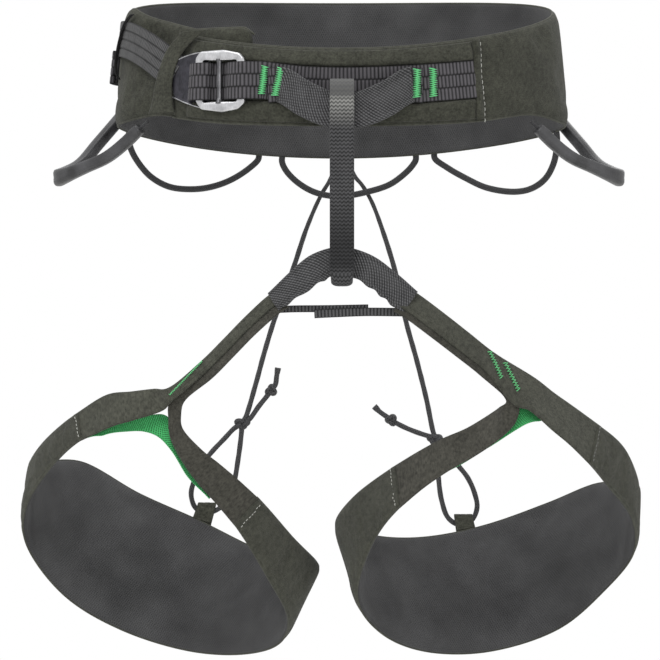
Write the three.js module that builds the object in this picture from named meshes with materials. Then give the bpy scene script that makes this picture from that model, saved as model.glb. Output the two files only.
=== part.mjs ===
// Climbing sit harness: a padded waist belt with its buckle, the belay loop, two leg loops,
// gear loops and the elastic risers at the back. Millimetres, +Z up, the wearer faces -Y.
// "left" is -X and "right" is +X, as seen by someone who stands in front of the wearer.
import * as THREE from 'three';

// Waist belt: an oval ring that flares a little towards its lower edge
const WAIST_HALF_WIDTH = 152;
const WAIST_HALF_DEPTH = 107;
const WAIST_FLARE = 0.1;

// Layers of every padded band, counted inwards from its outer face
const SHELL = [0, 1.1];
const FOAM = [1.4, 5.2];
const LINING = [5.5, 6.6];

// Webbing and cord sizes
const WEBBING_WIDTH = 25;
const WEBBING_THICK = 1.8;
const BELAY_WIDTH = 16;
const BELAY_THICK = 3;
const RISER_DIAMETER = 3;
const REAR_LOOP_DIAMETER = 4.5;
const SLEEVE_RADIUS = 4.3;

// Buckle: where it sits on the belt, and the heights of its frame and plate off the belt
const BUCKLE_X = -79;
const BUCKLE_Z = -17;
const PLATE_OFF = 0.9;
const PLATE_THICK = 1.7;
const FRAME_OFF = 3.4;
const FRAME_THICK = 3;

// The leg loops hang in a plane that drops towards the back; this is the band's own upward direction
const LEG_UP = new THREE.Vector3(0, 0.57, 0.82);

const OLIVE = 0x4e5046;
const LINING_GREY = 0x434345;
const FOAM_GREY = 0x2f2f31;
const WEBBING_GREY = 0x4c4c4c;
const COVER_GREY = 0x454546;
const CORD_GREY = 0x3c3c3e;
const MESH_GREEN = 0x169a48;
const ALUMINIUM = 0xc7c7c9;
const ANODISED_GREY = 0x3f3e44;

const harness = new THREE.Group();

function material(color, roughness = 0.9, metalness = 0) {
  return new THREE.MeshStandardMaterial({ color, roughness, metalness });
}

function add(name, geometry, surface, parent = harness) {
  const mesh = new THREE.Mesh(geometry, surface);
  mesh.name = name;
  parent.add(mesh);
  return mesh;
}

function point(x, y, z) {
  return new THREE.Vector3(x, y, z);
}

function curveThrough(points, closed = false) {
  return new THREE.CatmullRomCurve3(points.map((p) => point(...p)), closed, 'centripetal');
}

// ---- closed solids from rings of points ----

function signedVolume(vertices, faces) {
  const cross = new THREE.Vector3();
  return faces.reduce((sum, [a, b, c]) => {
    return sum + vertices[a].dot(cross.crossVectors(vertices[b], vertices[c]));
  }, 0);
}

function solid(vertices, faces) {
  const outward = signedVolume(vertices, faces) > 0;
  const index = faces.flatMap(([a, b, c]) => (outward ? [a, b, c] : [a, c, b]));
  const geometry = new THREE.BufferGeometry();
  const positions = vertices.flatMap((v) => v.toArray());
  geometry.setAttribute('position', new THREE.Float32BufferAttribute(positions, 3));
  geometry.setIndex(index);
  geometry.computeVertexNormals();
  return geometry;
}

/**
 * Joins rings of equal length into one body: an endless one, or one with a flat cap at each end.
 * The two halves of a ring split their quads along the same diagonals in space, so that the facing
 * sides of nested bands stay parallel where the bands twist.
 */
function loft(rings, endless = false) {
  const sides = rings[0].length;
  const faces = [];
  const spans = endless ? rings.length : rings.length - 1;
  for (let i = 0; i < spans; i += 1) {
    const here = i * sides;
    const next = ((i + 1) % rings.length) * sides;
    for (let j = 0; j < sides; j += 1) {
      const k = (j + 1) % sides;
      if (2 * j < sides) {
        faces.push([here + j, here + k, next + k], [here + j, next + k, next + j]);
      } else {
        faces.push([here + j, here + k, next + j], [here + k, next + k, next + j]);
      }
    }
  }
  if (!endless) {
    const last = (rings.length - 1) * sides;
    for (let j = 1; j < sides - 1; j += 1) {
      faces.push([0, j + 1, j], [last, last + j, last + j + 1]);
    }
  }
  return solid(rings.flat(), faces);
}

/** A band's cross-section, `width` across and from `low` to `high` outwards, with its corners taken off. */
function bandSection(centre, across, out, width, low, high) {
  const half = width / 2;
  const corner = 0.3 * (high - low);
  const outline = [
    [half, high - corner], [half - corner, high], [corner - half, high], [-half, high - corner],
    [-half, low + corner], [corner - half, low], [half - corner, low], [half, low + corner],
  ];
  return outline.map(([u, v]) => centre.clone().addScaledVector(across, u).addScaledVector(out, v));
}

/** Even steps from a to b, both ends included. */
function steps(a, b, count) {
  return Array.from({ length: count + 1 }, (_, i) => a + ((b - a) * i) / count);
}

/** A flat strap along a curve. `rise(p)` is roughly its width's direction, `low` and `high` its faces. */
function strap(path, rise, width, low, high, count, from = 0, to = 1) {
  const rings = steps(from, to, count).map((t) => {
    const tangent = path.getTangent(t);
    const across = rise(path.getPoint(t));
    const side = across.clone().addScaledVector(tangent, -across.dot(tangent)).normalize();
    const out = tangent.clone().cross(side).normalize();
    return bandSection(path.getPoint(t), side, out, width, low, high);
  });
  return loft(rings);
}

/** A round cord along a curve, one step every two or three diameters. */
function cord(path, diameter, sides = 8) {
  const section = new THREE.Shape();
  section.absarc(0, 0, diameter / 2, 0, 2 * Math.PI);
  return new THREE.ExtrudeGeometry(section, {
    steps: Math.max(3, Math.round(path.getLength() / (2.6 * diameter))),
    curveSegments: sides / 2,
    extrudePath: path,
  });
}

/** A knot: a short, fat spindle of one turned profile, laid along a direction. */
function knot(centre, length, width, direction) {
  const profile = [[0, -0.5], [0.34, -0.42], [0.5, -0.12], [0.5, 0.12], [0.34, 0.42], [0, 0.5]];
  const outline = profile.map(([r, h]) => new THREE.Vector2(r * width, h * length));
  const geometry = new THREE.LatheGeometry(outline, 10);
  const turn = new THREE.Quaternion().setFromUnitVectors(point(0, 1, 0), direction.clone().normalize());
  return geometry.applyQuaternion(turn).translate(...centre);
}

// ---- the waist belt's surface ----

/** Height of the belt's upper edge; s is -1 at the front, 0 at the sides and 1 at the back. */
function beltTop(s) {
  return 39 + 25.3 * s - 9.3 * s * s;
}

/** Height of the lower edge, which is cut up a little where the front gear loops leave it. */
function beltBottom(s) {
  const gearNotch = 5 * Math.exp(-(((s + 0.57) / 0.2) ** 2));
  return -40.5 - 5 * s - 11 * s * s + gearNotch;
}

/** A point `off` millimetres outside the belt's outer face, at an angle counted from +X towards +Y. */
function beltPoint(angle, z, off) {
  const width = WAIST_HALF_WIDTH - WAIST_FLARE * z + off;
  return point(width * Math.cos(angle), (WAIST_HALF_DEPTH + off) * Math.sin(angle), z);
}

/** A point off the front of the belt, found by its x. */
function onBeltFront(x, z, off) {
  const width = WAIST_HALF_WIDTH - WAIST_FLARE * z + off;
  return beltPoint(-Math.acos(x / width), z, off);
}

/** Straight up the belt's face at a point on it. */
function beltRise(p) {
  return point((-WAIST_FLARE * p.x) / WAIST_HALF_WIDTH, 0, 1);
}

function straightUp() {
  return point(0, 0, 1);
}

/** A band of the belt between two heights and two depths, along a run of angles. */
function beltBand(angles, top, bottom, low, high) {
  const rings = angles.map((angle) => {
    const [t, b, inner, outer] = [top, bottom, low, high].map((edge) => edge(angle));
    const corner = 0.3 * (outer - inner);
    const outline = [
      [t - corner, outer], [t, outer - corner], [t, inner + corner], [t - corner, inner],
      [b + corner, inner], [b, inner + corner], [b, outer - corner], [b + corner, outer],
    ];
    return outline.map(([z, off]) => beltPoint(angle, z, off));
  });
  return loft(rings);
}

// ---- waist belt: one padded band whose left end slips inside its right end, behind the buckle ----

const LEFT_END = THREE.MathUtils.degToRad(-114);
const RIGHT_END = THREE.MathUtils.degToRad(-497);
const BELT_STEPS = 62;
const OVERLAP_DEPTH = 7.6;
const INNER_END_TOP = 20.2;
const INNER_END_CLIMB = 0.5;
const INNER_END_CORNER = 5;

/** How far along the inner end an angle lies: 1 where the ends overlap, 0 once the band is clear. */
function innerEnd(angle) {
  return 1 - THREE.MathUtils.smoothstep(THREE.MathUtils.radToDeg(-angle), 142, 166);
}

/** The band's upper edge: level over the inner end, whose last corner is taken off, then climbing evenly. */
function bandTop(angle) {
  const degrees = THREE.MathUtils.radToDeg(-angle);
  const slope = INNER_END_TOP + INNER_END_CLIMB * Math.max(0, degrees - 134);
  const side = THREE.MathUtils.smoothstep(degrees, 156, 176);
  const corner = INNER_END_CORNER * (1 - THREE.MathUtils.smoothstep(degrees, 114, 118));
  return THREE.MathUtils.lerp(slope, beltTop(Math.sin(angle)), side) - corner;
}

function beltLayer(name, [near, far], margin, surface) {
  const angles = steps(LEFT_END, RIGHT_END, BELT_STEPS);
  const sink = (angle) => OVERLAP_DEPTH * innerEnd(angle);
  const top = (angle) => bandTop(angle) - margin;
  const bottom = (angle) => beltBottom(Math.sin(angle)) + margin;
  const low = (angle) => -far - sink(angle);
  const high = (angle) => -near - sink(angle);
  add(name, beltBand(angles, top, bottom, low, high), surface);
}

beltLayer('belt_outer_shell', SHELL, 0, material(OLIVE));
beltLayer('belt_foam', FOAM, 3, material(FOAM_GREY));
beltLayer('belt_lining', LINING, 0.5, material(LINING_GREY));

// Folded hem of the right-hand panel, where the front webbing comes out from under it
const HEM_FROM = THREE.MathUtils.degToRad(-51);
const HEM_TO = THREE.MathUtils.degToRad(-54.2);
add(
  'right_panel_hem',
  beltBand(
    steps(HEM_FROM, HEM_TO, 2),
    (angle) => beltTop(Math.sin(angle)) - 1,
    (angle) => beltBottom(Math.sin(angle)) + 1,
    () => 0.3,
    () => 2.9,
  ),
  material(OLIVE),
);

// ---- buckle, in a group of its own: x along the belt, y into the belt, z up ----

const buckle = new THREE.Group();
const buckleOrigin = onBeltFront(BUCKLE_X, 0, 0);
const buckleAlong = onBeltFront(BUCKLE_X + 1, 0, 0).sub(onBeltFront(BUCKLE_X - 1, 0, 0)).normalize();
buckle.position.copy(buckleOrigin).setZ(BUCKLE_Z);
buckle.rotation.z = Math.atan2(buckleAlong.y, buckleAlong.x);
harness.add(buckle);

/** A plate standing up in the buckle group: an outline along the belt and up, `off` away from it. */
function buckleSheet(outline, holes, off, thick, bevel) {
  const shape = new THREE.Shape(outline.map(([u, v]) => new THREE.Vector2(u, v)));
  shape.holes = holes.map((hole) => new THREE.Path(hole.map(([u, v]) => new THREE.Vector2(u, v))));
  const geometry = new THREE.ExtrudeGeometry(shape, {
    depth: thick - 2 * bevel,
    bevelEnabled: bevel > 0,
    bevelSize: bevel,
    bevelOffset: -bevel,
    bevelThickness: bevel,
    bevelSegments: 1,
    curveSegments: 6,
  });
  return geometry.rotateX(Math.PI / 2).translate(0, -off - bevel, 0);
}

const WINDOW_TOP = 14;
const WINDOW_BOTTOM = -13.2;

/** A window of the frame between two bars; `extra` makes it that much taller at both ends. */
function windowBetween(left, right, extra) {
  const bottom = WINDOW_BOTTOM - extra;
  const top = WINDOW_TOP + extra;
  return [[left, bottom], [right, bottom], [right, top], [left, top]];
}

add(
  'buckle_frame',
  buckleSheet(
    [[-15.5, -12.5], [-12, -18], [4, -20.3], [15.5, -18.5], [20.3, -14.5],
      [20.3, 14.5], [16.5, 18.6], [5, 21], [-12, 20.4], [-15.5, 16]],
    [windowBetween(-12, -1, 0), windowBetween(2, 16.5, 0.3)],
    FRAME_OFF,
    FRAME_THICK,
    0.7,
  ),
  material(ALUMINIUM, 0.35, 1),
  buckle,
);

// The plate carries the frame: its two ears reach under the frame on each side of the webbing
add(
  'buckle_plate',
  buckleSheet(
    [[-7, -19], [-7, -13], [-24.8, -13], [-24.8, 13.8], [-7, 13.8], [-7, 20.6], [-18, 20],
      [-24.8, 17.5], [-29, 12], [-30.3, 6], [-30.3, -5], [-29, -11], [-25, -17]],
    [],
    PLATE_OFF,
    PLATE_THICK,
    0.4,
  ),
  material(ANODISED_GREY, 0.45, 0.8),
  buckle,
);

// ---- webbing round the front of the belt ----

const WEBBING_OFF = 1.4;
const frontRoute = [
  [86, -15], [70, -17], [50, -18.8], [25, -20.3], [0, -20.8], [-25, -19.8], [-40, -18],
].map(([x, z]) => onBeltFront(x, z, WEBBING_OFF));

// Through the buckle, along the belt and away from it: over the right bar, behind the centre bar,
// over the left bar and down into the plate
const buckleRoute = [
  [31.5, -0.4], [26, 4.3], [20, 7.8], [15.6, 7.5], [11, 5], [4.5, 2.1], [-2.5, 2.1],
  [-6.5, 4.6], [-11, 7.6], [-14.2, 8.1], [-17.8, 6.6], [-20.5, 3.4], [-22, 0.9],
].map(([u, off]) => point(u, -off, 0.4));
buckle.updateMatrixWorld(true);
const webbingRoute = [...frontRoute, ...buckleRoute.map((p) => p.applyMatrix4(buckle.matrixWorld))];
add(
  'front_webbing',
  strap(
    new THREE.CatmullRomCurve3(webbingRoute, false, 'centripetal'),
    beltRise,
    WEBBING_WIDTH,
    -WEBBING_THICK / 2,
    WEBBING_THICK / 2,
    64,
  ),
  material(WEBBING_GREY),
);

// Webbing tail: from under the keeper up and round the left side, ending in a folded stop
const TAIL_FROM = THREE.MathUtils.degToRad(-135);
const TAIL_TO = THREE.MathUtils.degToRad(-180);

/** Height of the tail's middle line, which climbs ever more slowly. */
function tailHeight(angle) {
  const along = (angle - TAIL_FROM) / (TAIL_TO - TAIL_FROM);
  return -10 + 29 * (1 - (1 - along) ** 2.6);
}

add(
  'webbing_tail',
  beltBand(
    steps(TAIL_FROM, TAIL_TO, 14),
    (angle) => tailHeight(angle) + WEBBING_WIDTH / 2,
    (angle) => tailHeight(angle) - WEBBING_WIDTH / 2,
    () => WEBBING_OFF - WEBBING_THICK / 2,
    () => WEBBING_OFF + WEBBING_THICK / 2,
  ),
  material(WEBBING_GREY),
);

const STOP_FROM = THREE.MathUtils.degToRad(-182);
const STOP_TO = THREE.MathUtils.degToRad(-194);
add(
  'tail_folded_end',
  beltBand(steps(STOP_FROM, STOP_TO, 4), () => 13, () => -11, () => 0.5, () => 7.5),
  material(WEBBING_GREY),
);

// Narrow elastic keeper that holds the tail down at the side
const KEEPER_FROM = THREE.MathUtils.degToRad(-168);
const KEEPER_TO = THREE.MathUtils.degToRad(-171.5);
add(
  'tail_elastic_keeper',
  beltBand(
    steps(KEEPER_FROM, KEEPER_TO, 2),
    (angle) => beltTop(Math.sin(angle)) + 0.5,
    () => -8,
    () => 2.7,
    () => 3.7,
  ),
  material(CORD_GREY),
);

// Fabric keeper: an olive band slanting down over the belt and the tail, just left of the buckle
const FABRIC_KEEPER_TOP = 18;
const FABRIC_KEEPER_BOTTOM = -36;
const FABRIC_KEEPER_OFF = 3.4;

/** The keeper's section at a height: it slants left as it drops, steeply at first. */
function keeperSection(z) {
  const drop = (FABRIC_KEEPER_TOP - z) / (FABRIC_KEEPER_TOP - FABRIC_KEEPER_BOTTOM);
  const middle = -129 - 10 * (1 - (1 - drop) ** 3.6);
  const half = 2.3 + 1.5 * (1 - drop) ** 2 + 2.6 * drop ** 3;
  const [right, left] = [half, -half].map((turn) => THREE.MathUtils.degToRad(middle + turn));
  const [from, to] = [right, left].map((angle) => beltPoint(angle, z, FABRIC_KEEPER_OFF));
  const across = from.clone().sub(to);
  const width = across.length();
  across.normalize();
  const out = across.clone().cross(point(0, 0, 1)).normalize();
  return bandSection(from.add(to).multiplyScalar(0.5), across, out, width, -0.5, 0.5);
}

const keeperRings = steps(FABRIC_KEEPER_TOP, FABRIC_KEEPER_BOTTOM, 12).map(keeperSection);
add('fabric_keeper', loft(keeperRings), material(OLIVE));

// ---- upper tie-in point ----

const tieInEnds = [-47, -38, 46, 55].map((x) => onBeltFront(x, -20, 3.8));
const tieInRoute = new THREE.CatmullRomCurve3(
  [
    tieInEnds[0], tieInEnds[1], point(-22, -117.5, -30), point(-8, -122.6, -36.5), point(4, -124, -38.5),
    point(16, -122.8, -36.5), point(30, -117.8, -30), tieInEnds[2], tieInEnds[3],
  ],
  false,
  'centripetal',
);
add('tie_in_webbing', strap(tieInRoute, beltRise, 23, -0.6, 0.6, 20), material(WEBBING_GREY));
add(
  'tie_in_wear_cover',
  strap(tieInRoute, beltRise, 24, 0.9, 1.9, 16, 0.1, 0.9),
  material(COVER_GREY),
);

// ---- belay loop: a stadium-shaped ring of doubled webbing through both tie-in points ----

const BELAY_X = 1.6;
const BELAY_Y = -123.4;
const BELAY_TOP = -18.5;
const BELAY_BOTTOM = -151.5;
const BELAY_RADIUS = 6.5;

function belayRings() {
  const turn = steps(0, Math.PI, 8);
  const upper = turn.map((a) => [a, BELAY_TOP - BELAY_RADIUS]);
  const lower = turn.map((a) => [a + Math.PI, BELAY_BOTTOM + BELAY_RADIUS]);
  return [...upper, ...lower].map(([a, z]) => {
    const out = point(0, -Math.cos(a), Math.sin(a));
    const centre = point(BELAY_X, BELAY_Y, z).addScaledVector(out, BELAY_RADIUS);
    return bandSection(centre, point(1, 0, 0), out, BELAY_WIDTH, -BELAY_THICK / 2, BELAY_THICK / 2);
  });
}

add('belay_loop', loft(belayRings(), true), material(WEBBING_GREY));

// ---- lower tie-in point and the two arms ----

const bridgeRoute = curveThrough([
  [-43, -112, -163], [-36, -116, -157], [-26, -120, -149], [-13, -123, -140],
  [1, -124, -136.5], [17, -123, -141], [32, -118, -151.5], [46, -112, -163.5],
]);
add('bridge_webbing', strap(bridgeRoute, straightUp, 16, -1.9, -0.5, 20), material(WEBBING_GREY));
add('bridge_wear_cover', strap(bridgeRoute, straightUp, 19, 0, 1.6, 20), material(COVER_GREY));

const armRoutes = {
  left: curveThrough([
    [-44.5, -111.4, -165], [-56, -108, -175], [-71, -101, -190], [-87, -94, -206], [-103.5, -89, -221.5],
  ]),
  right: curveThrough([[47.5, -111.4, -165], [72, -104, -183], [95, -96, -201], [115, -89, -216]]),
};
const ARM_WIDTHS = { left: 15, right: 20 };

// Short strap that ties the two arms together below the bridge, with its end folded back
const crossRoute = curveThrough([[-34, -109.6, -168], [-12, -109, -168.6], [39, -109, -169]]);
const returnRoute = curveThrough([[-16, -111.4, -169.6], [5, -111.4, -170], [26, -111.4, -169.8]]);
add('cross_strap', strap(crossRoute, straightUp, 5, -0.9, 0.9, 6), material(WEBBING_GREY));
add('cross_strap_return', strap(returnRoute, straightUp, 6, -0.9, 0.9, 4), material(WEBBING_GREY));

// ---- leg loops ----

// Stations round each loop, from the arm out and round the back to the inner side:
// [x, y, z of the band's middle, its width, how far its upper edge leans in x]
const LEG_STATIONS = {
  left: [
    [-111, -88, -227, 15, 0], [-142, -80, -232, 21, -3], [-173, -60, -243, 21, -4], [-199, -33, -263, 22, -5],
    [-218, 2, -288, 39, 2], [-217, 38, -304, 69, 7], [-191, 66, -324, 110, 8], [-151, 84, -349, 113, 8],
    [-103, 86, -367, 107, 5], [-63, 68, -376, 87, 6], [-33, 38, -376, 64, 14], [-22, 5, -364.5, 44, 21],
    [-38, -30, -337, 31, 18], [-62, -52, -303, 20.5, 16], [-86, -70, -278, 15.5, 14], [-106, -82, -253, 8, 8],
  ],
  right: [
    [120, -88, -220, 26, 1], [148, -78, -238, 28, 1], [171, -60, -255, 31, 6], [191, -33, -274, 32, 12],
    [208, 2, -299, 33, 5], [209, 38, -315, 58, 1], [189, 66, -330, 88, -1], [156, 84, -352, 104, -3],
    [109, 86, -368, 105, 3], [63, 68, -371, 94, 5], [27, 38, -362, 78, -1], [3, 5, -343, 59, -14],
    [14, -30, -311, 37, -13], [39, -50, -285, 33, -2], [70, -66, -264, 25, -4], [101, -82, -246, 22, -2],
  ],
};
const LEG_OUTER_SEAM = 2.1;
const LEG_INNER_SEAM = 13;
const SEAM_GAP = 0.02;

/** Both edges of a leg loop's band as closed curves. */
function legEdges(stations) {
  const edge = (sign) => stations.map(([x, y, z, width, lean]) => {
    const up = LEG_UP.clone().multiplyScalar(width);
    up.x = lean;
    return point(x, y, z).addScaledVector(up, sign / 2).toArray();
  });
  return { top: curveThrough(edge(1), true), bottom: curveThrough(edge(-1), true) };
}

/** A stretch of a leg loop's band between two stations; `near` and `far` count inwards from its face. */
function legBand({ top, bottom }, centre, from, to, [near, far], margin, count) {
  const rings = steps(from, to, count).map((station) => {
    const t = (station / 16 + 1) % 1;
    const upper = top.getPoint(t);
    const lower = bottom.getPoint(t);
    const middle = upper.clone().add(lower).multiplyScalar(0.5);
    const across = upper.clone().sub(lower);
    const width = across.length();
    across.normalize();
    const tangent = top.getTangent(t).add(bottom.getTangent(t));
    const out = tangent.cross(across).normalize();
    if (out.dot(middle.clone().sub(centre)) < 0) {
      out.negate();
    }
    return bandSection(middle, across, out, width - 2 * margin, -far, -near);
  });
  return loft(rings);
}

/** The mesh gusset in the fork of a leg loop: a thin web from the straps down to its own free edge. */
function gusset(upperPoints, freePoints) {
  const upper = curveThrough(upperPoints);
  const free = curveThrough(freePoints);
  const rings = steps(0, 1, 14).map((t) => {
    const a = upper.getPoint(t);
    const b = free.getPoint(t);
    const across = a.clone().sub(b);
    const width = across.length();
    across.normalize();
    const out = free.getTangent(t).cross(across).normalize();
    return bandSection(a.add(b).multiplyScalar(0.5), across, out, width, -0.4, 0.4);
  });
  return loft(rings);
}

const GUSSETS = {
  left: {
    upper: [
      [-170, -60, -253.5], [-150, -70, -245.5], [-132, -77, -240.5], [-119, -79.5, -239.5],
      [-113.5, -80.5, -244.5], [-112.5, -79.2, -256], [-100.5, -71, -277.5], [-87, -63, -294.5],
    ],
    free: [
      [-167, -62, -255.5], [-155, -67, -250.8], [-143, -72, -249.2], [-131, -76, -249],
      [-121, -78, -252.5], [-112, -77.2, -262], [-101.5, -71, -280], [-89.5, -63, -297],
    ],
  },
  right: {
    upper: [
      [138, -82, -240.8], [133, -82.5, -238.5], [127, -83.2, -235.6], [120, -84, -232.5],
      [112, -82.5, -240], [106.6, -80.7, -252.6], [89, -73, -266.5], [64, -62, -280],
    ],
    free: [
      [137, -82.5, -242.5], [131, -84, -242], [125, -85.5, -243.5], [117, -86, -248],
      [102, -82, -258], [94, -78, -263], [87, -74, -268], [62, -62, -284],
    ],
  },
};

const LEG_TABS = {
  left: [[-100, 113.5, -320.5], [-97, 118, -312], [-96, 121.4, -308.3], [-97, 124.8, -312],
    [-100, 119.8, -324], [-102, 115.2, -331.5]],
  right: [[93, 108.6, -326.5], [91.5, 113.2, -320], [91, 116.6, -316.5], [91.5, 120, -320],
    [93, 115.6, -331.5], [94, 111.4, -338.5]],
};

for (const side of ['left', 'right']) {
  const stations = LEG_STATIONS[side];
  const edges = legEdges(stations);
  const centre = stations.reduce((sum, [x, y, z]) => sum.add(point(x, y, z)), point(0, 0, 0));
  centre.divideScalar(stations.length);
  const band = (from, to, layer, margin, count) => legBand(edges, centre, from, to, layer, margin, count);
  const padded = (layer, margin) => {
    return band(LEG_OUTER_SEAM + SEAM_GAP, LEG_INNER_SEAM - SEAM_GAP, layer, margin, 34);
  };

  const arm = strap(armRoutes[side], () => point(0, 0.4, 0.9), ARM_WIDTHS[side], -1, 1, 12);
  add(`arm_${side}`, arm, material(OLIVE));
  const outerStrap = band(0.12, LEG_OUTER_SEAM - SEAM_GAP, [2, 4.4], 0, 8);
  add(`leg_outer_strap_${side}`, outerStrap, material(OLIVE));
  const innerStrap = band(LEG_INNER_SEAM + SEAM_GAP, 15.6, [2, 4.4], 0, 10);
  add(`leg_inner_strap_${side}`, innerStrap, material(OLIVE));
  add(`leg_shell_${side}`, padded(SHELL, 0), material(OLIVE));
  add(`leg_foam_${side}`, padded(FOAM, 3), material(FOAM_GREY));
  add(`leg_lining_${side}`, padded(LINING, 0.5), material(LINING_GREY));
  add(`leg_gusset_${side}`, gusset(GUSSETS[side].upper, GUSSETS[side].free), material(MESH_GREEN));
  const tab = strap(curveThrough(LEG_TABS[side]), () => point(1, 0, 0), 10, -0.8, 0.8, 14);
  add(`leg_riser_tab_${side}`, tab, material(OLIVE));
}

// ---- elastic risers: belt to knot, a loop through the leg loop's tab, and the knotted tail ----

add(
  'riser_anchor_tab',
  new THREE.BoxGeometry(15, 2, 16).translate(3.5, WAIST_HALF_DEPTH + 1.6, -47),
  material(WEBBING_GREY),
);

const RISERS = {
  left: {
    upper: [[0.5, 108.5, -56.5], [-6, 108, -72], [-13, 108, -84], [-23, 108, -107], [-33, 108, -137],
      [-46, 109, -172], [-54, 109, -198], [-60, 110, -220], [-67.5, 110, -244.8]],
    loop: [[-70.5, 110, -254.4], [-73, 111, -275], [-77, 114, -295], [-85, 118.5, -310], [-95, 120.8, -315],
      [-104, 120.6, -312], [-107.5, 116.5, -302], [-105, 112, -291], [-99, 111, -279], [-92, 110.6, -270],
      [-83, 110.4, -260.5], [-75.6, 110.2, -252.8]],
    tail: [[-64.7, 110, -246.2], [-58, 110, -237], [-52, 110, -229.5]],
    end: [[-46, 110, -221.5], [-45, 110, -215], [-44, 110, -209]],
    knot: [-70, 110, -249.5],
    stopper: [-49, 110, -225.5],
  },
  right: {
    upper: [[6.5, 108.5, -56.5], [12, 108, -70], [17, 108, -76], [24, 108, -88], [33, 108, -112],
      [42, 108, -142], [49, 108.5, -175], [57, 109, -204], [64, 110, -232], [69, 110, -256]],
    loop: [[70.5, 110.4, -265.8], [72.5, 112, -286], [75, 113, -305], [80, 115, -318.5], [88, 116.4, -323.5],
      [97, 116.4, -320.5], [101, 114, -311], [99, 112.4, -300], [94, 111.6, -289], [87, 110.8, -280],
      [75.6, 110.2, -266.2]],
    tail: [[64.2, 110, -258.3], [52, 110, -254], [43.5, 110, -250]],
    end: [[33.5, 110, -243.5], [30, 110, -241], [26, 110, -237]],
    knot: [70, 110, -261],
    stopper: [38.5, 110, -247],
  },
};

for (const side of ['left', 'right']) {
  const riser = RISERS[side];
  const surface = material(CORD_GREY);
  add(`riser_upper_${side}`, cord(curveThrough(riser.upper), RISER_DIAMETER), surface);
  add(`riser_loop_${side}`, cord(curveThrough(riser.loop), RISER_DIAMETER), surface);
  add(`riser_tail_${side}`, cord(curveThrough(riser.tail), RISER_DIAMETER), surface);
  add(`riser_end_${side}`, cord(curveThrough(riser.end), RISER_DIAMETER), surface);
  const tailStart = point(...riser.tail[0]);
  const tailEnd = point(...riser.tail[2]);
  const along = tailEnd.sub(tailStart);
  add(`riser_knot_${side}`, knot(riser.knot, 11, 7.5, point(1, 0, 0)), surface);
  add(`riser_stopper_${side}`, knot(riser.stopper, 7, 8, along), surface);
}

// ---- gear loops ----

// Rear loops: plain cord, sewn in under the belt's lower edge and hanging straight below it
const REAR_LOOPS = {
  left: [[-148, 33.5, -46.5], [-146, 36, -55], [-141, 41, -64], [-133, 47, -73], [-121, 56, -79.5],
    [-107, 66, -81], [-92, 77, -79], [-77, 88, -73], [-64, 96, -64], [-58, 99.5, -57.5]],
  centre: [[-41, 102, -59.5], [-38, 102.3, -66], [-29, 102.6, -75], [-16, 103, -82], [1, 103, -84.5],
    [22, 103, -81], [37, 102.6, -76], [47, 102, -69], [53, 100.5, -63], [56, 99.5, -58]],
  right: [[69.5, 96, -57.2], [78, 92, -64], [91, 84.5, -72], [106, 75, -79.5], [125, 62, -83],
    [137, 52, -81], [146, 43, -74.5], [151, 36, -65], [153, 31, -55], [153, 27, -46]],
};
for (const [side, route] of Object.entries(REAR_LOOPS)) {
  add(`gear_loop_rear_${side}`, cord(curveThrough(route), REAR_LOOP_DIAMETER), material(CORD_GREY));
}

// Front loops: a stiff moulded sleeve over a core cord, standing off the hip
const FRONT_LOOP = [[129, -60, -41], [136, -56, -47], [146, -51, -56], [158, -45, -64.5], [173, -36, -70.5],
  [186, -25, -75], [193, -12, -76.5], [188.5, 0, -73], [179, 11, -65.5], [169, 22, -52], [158, 34, -37.5],
  [148, 45.5, -24]];
const CORE_UNTIL = 0.07;

/** The sleeve's section is a squashed octagon that widens at the tip. */
function sleeve(path) {
  const rings = steps(CORE_UNTIL, 1, 26).map((t) => {
    const tip = Math.exp(-(((t - 0.55) / 0.13) ** 2));
    const tangent = path.getTangent(t);
    const side = point(0, 0, 1).addScaledVector(tangent, -tangent.z).normalize();
    const out = tangent.clone().cross(side);
    return steps(0, 7, 7).map((k) => {
      const angle = ((k + 0.5) * Math.PI) / 4;
      return path.getPoint(t)
        .addScaledVector(side, SLEEVE_RADIUS * (1 + 0.5 * tip) * Math.cos(angle))
        .addScaledVector(out, SLEEVE_RADIUS * Math.sin(angle));
    });
  });
  return loft(rings);
}

for (const [side, sign] of [['left', -1], ['right', 1]]) {
  const path = curveThrough(FRONT_LOOP.map(([x, y, z]) => [sign * x, y, z]));
  add(`gear_loop_front_${side}`, sleeve(path), material(LINING_GREY, 0.6));
  const core = steps(0, CORE_UNTIL - 0.004, 3).map((t) => path.getPoint(t).toArray());
  add(`gear_loop_core_${side}`, cord(curveThrough(core), 2.6), material(CORD_GREY));
}

export default harness;
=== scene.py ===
# Climbing sit harness: the visual model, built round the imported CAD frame.
# Lengths below are in millimetres and go to metres where a mesh is made. The wearer faces -Y,
# "left" is -X and "right" is +X, as seen by someone who stands in front of the wearer.
import math

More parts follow.
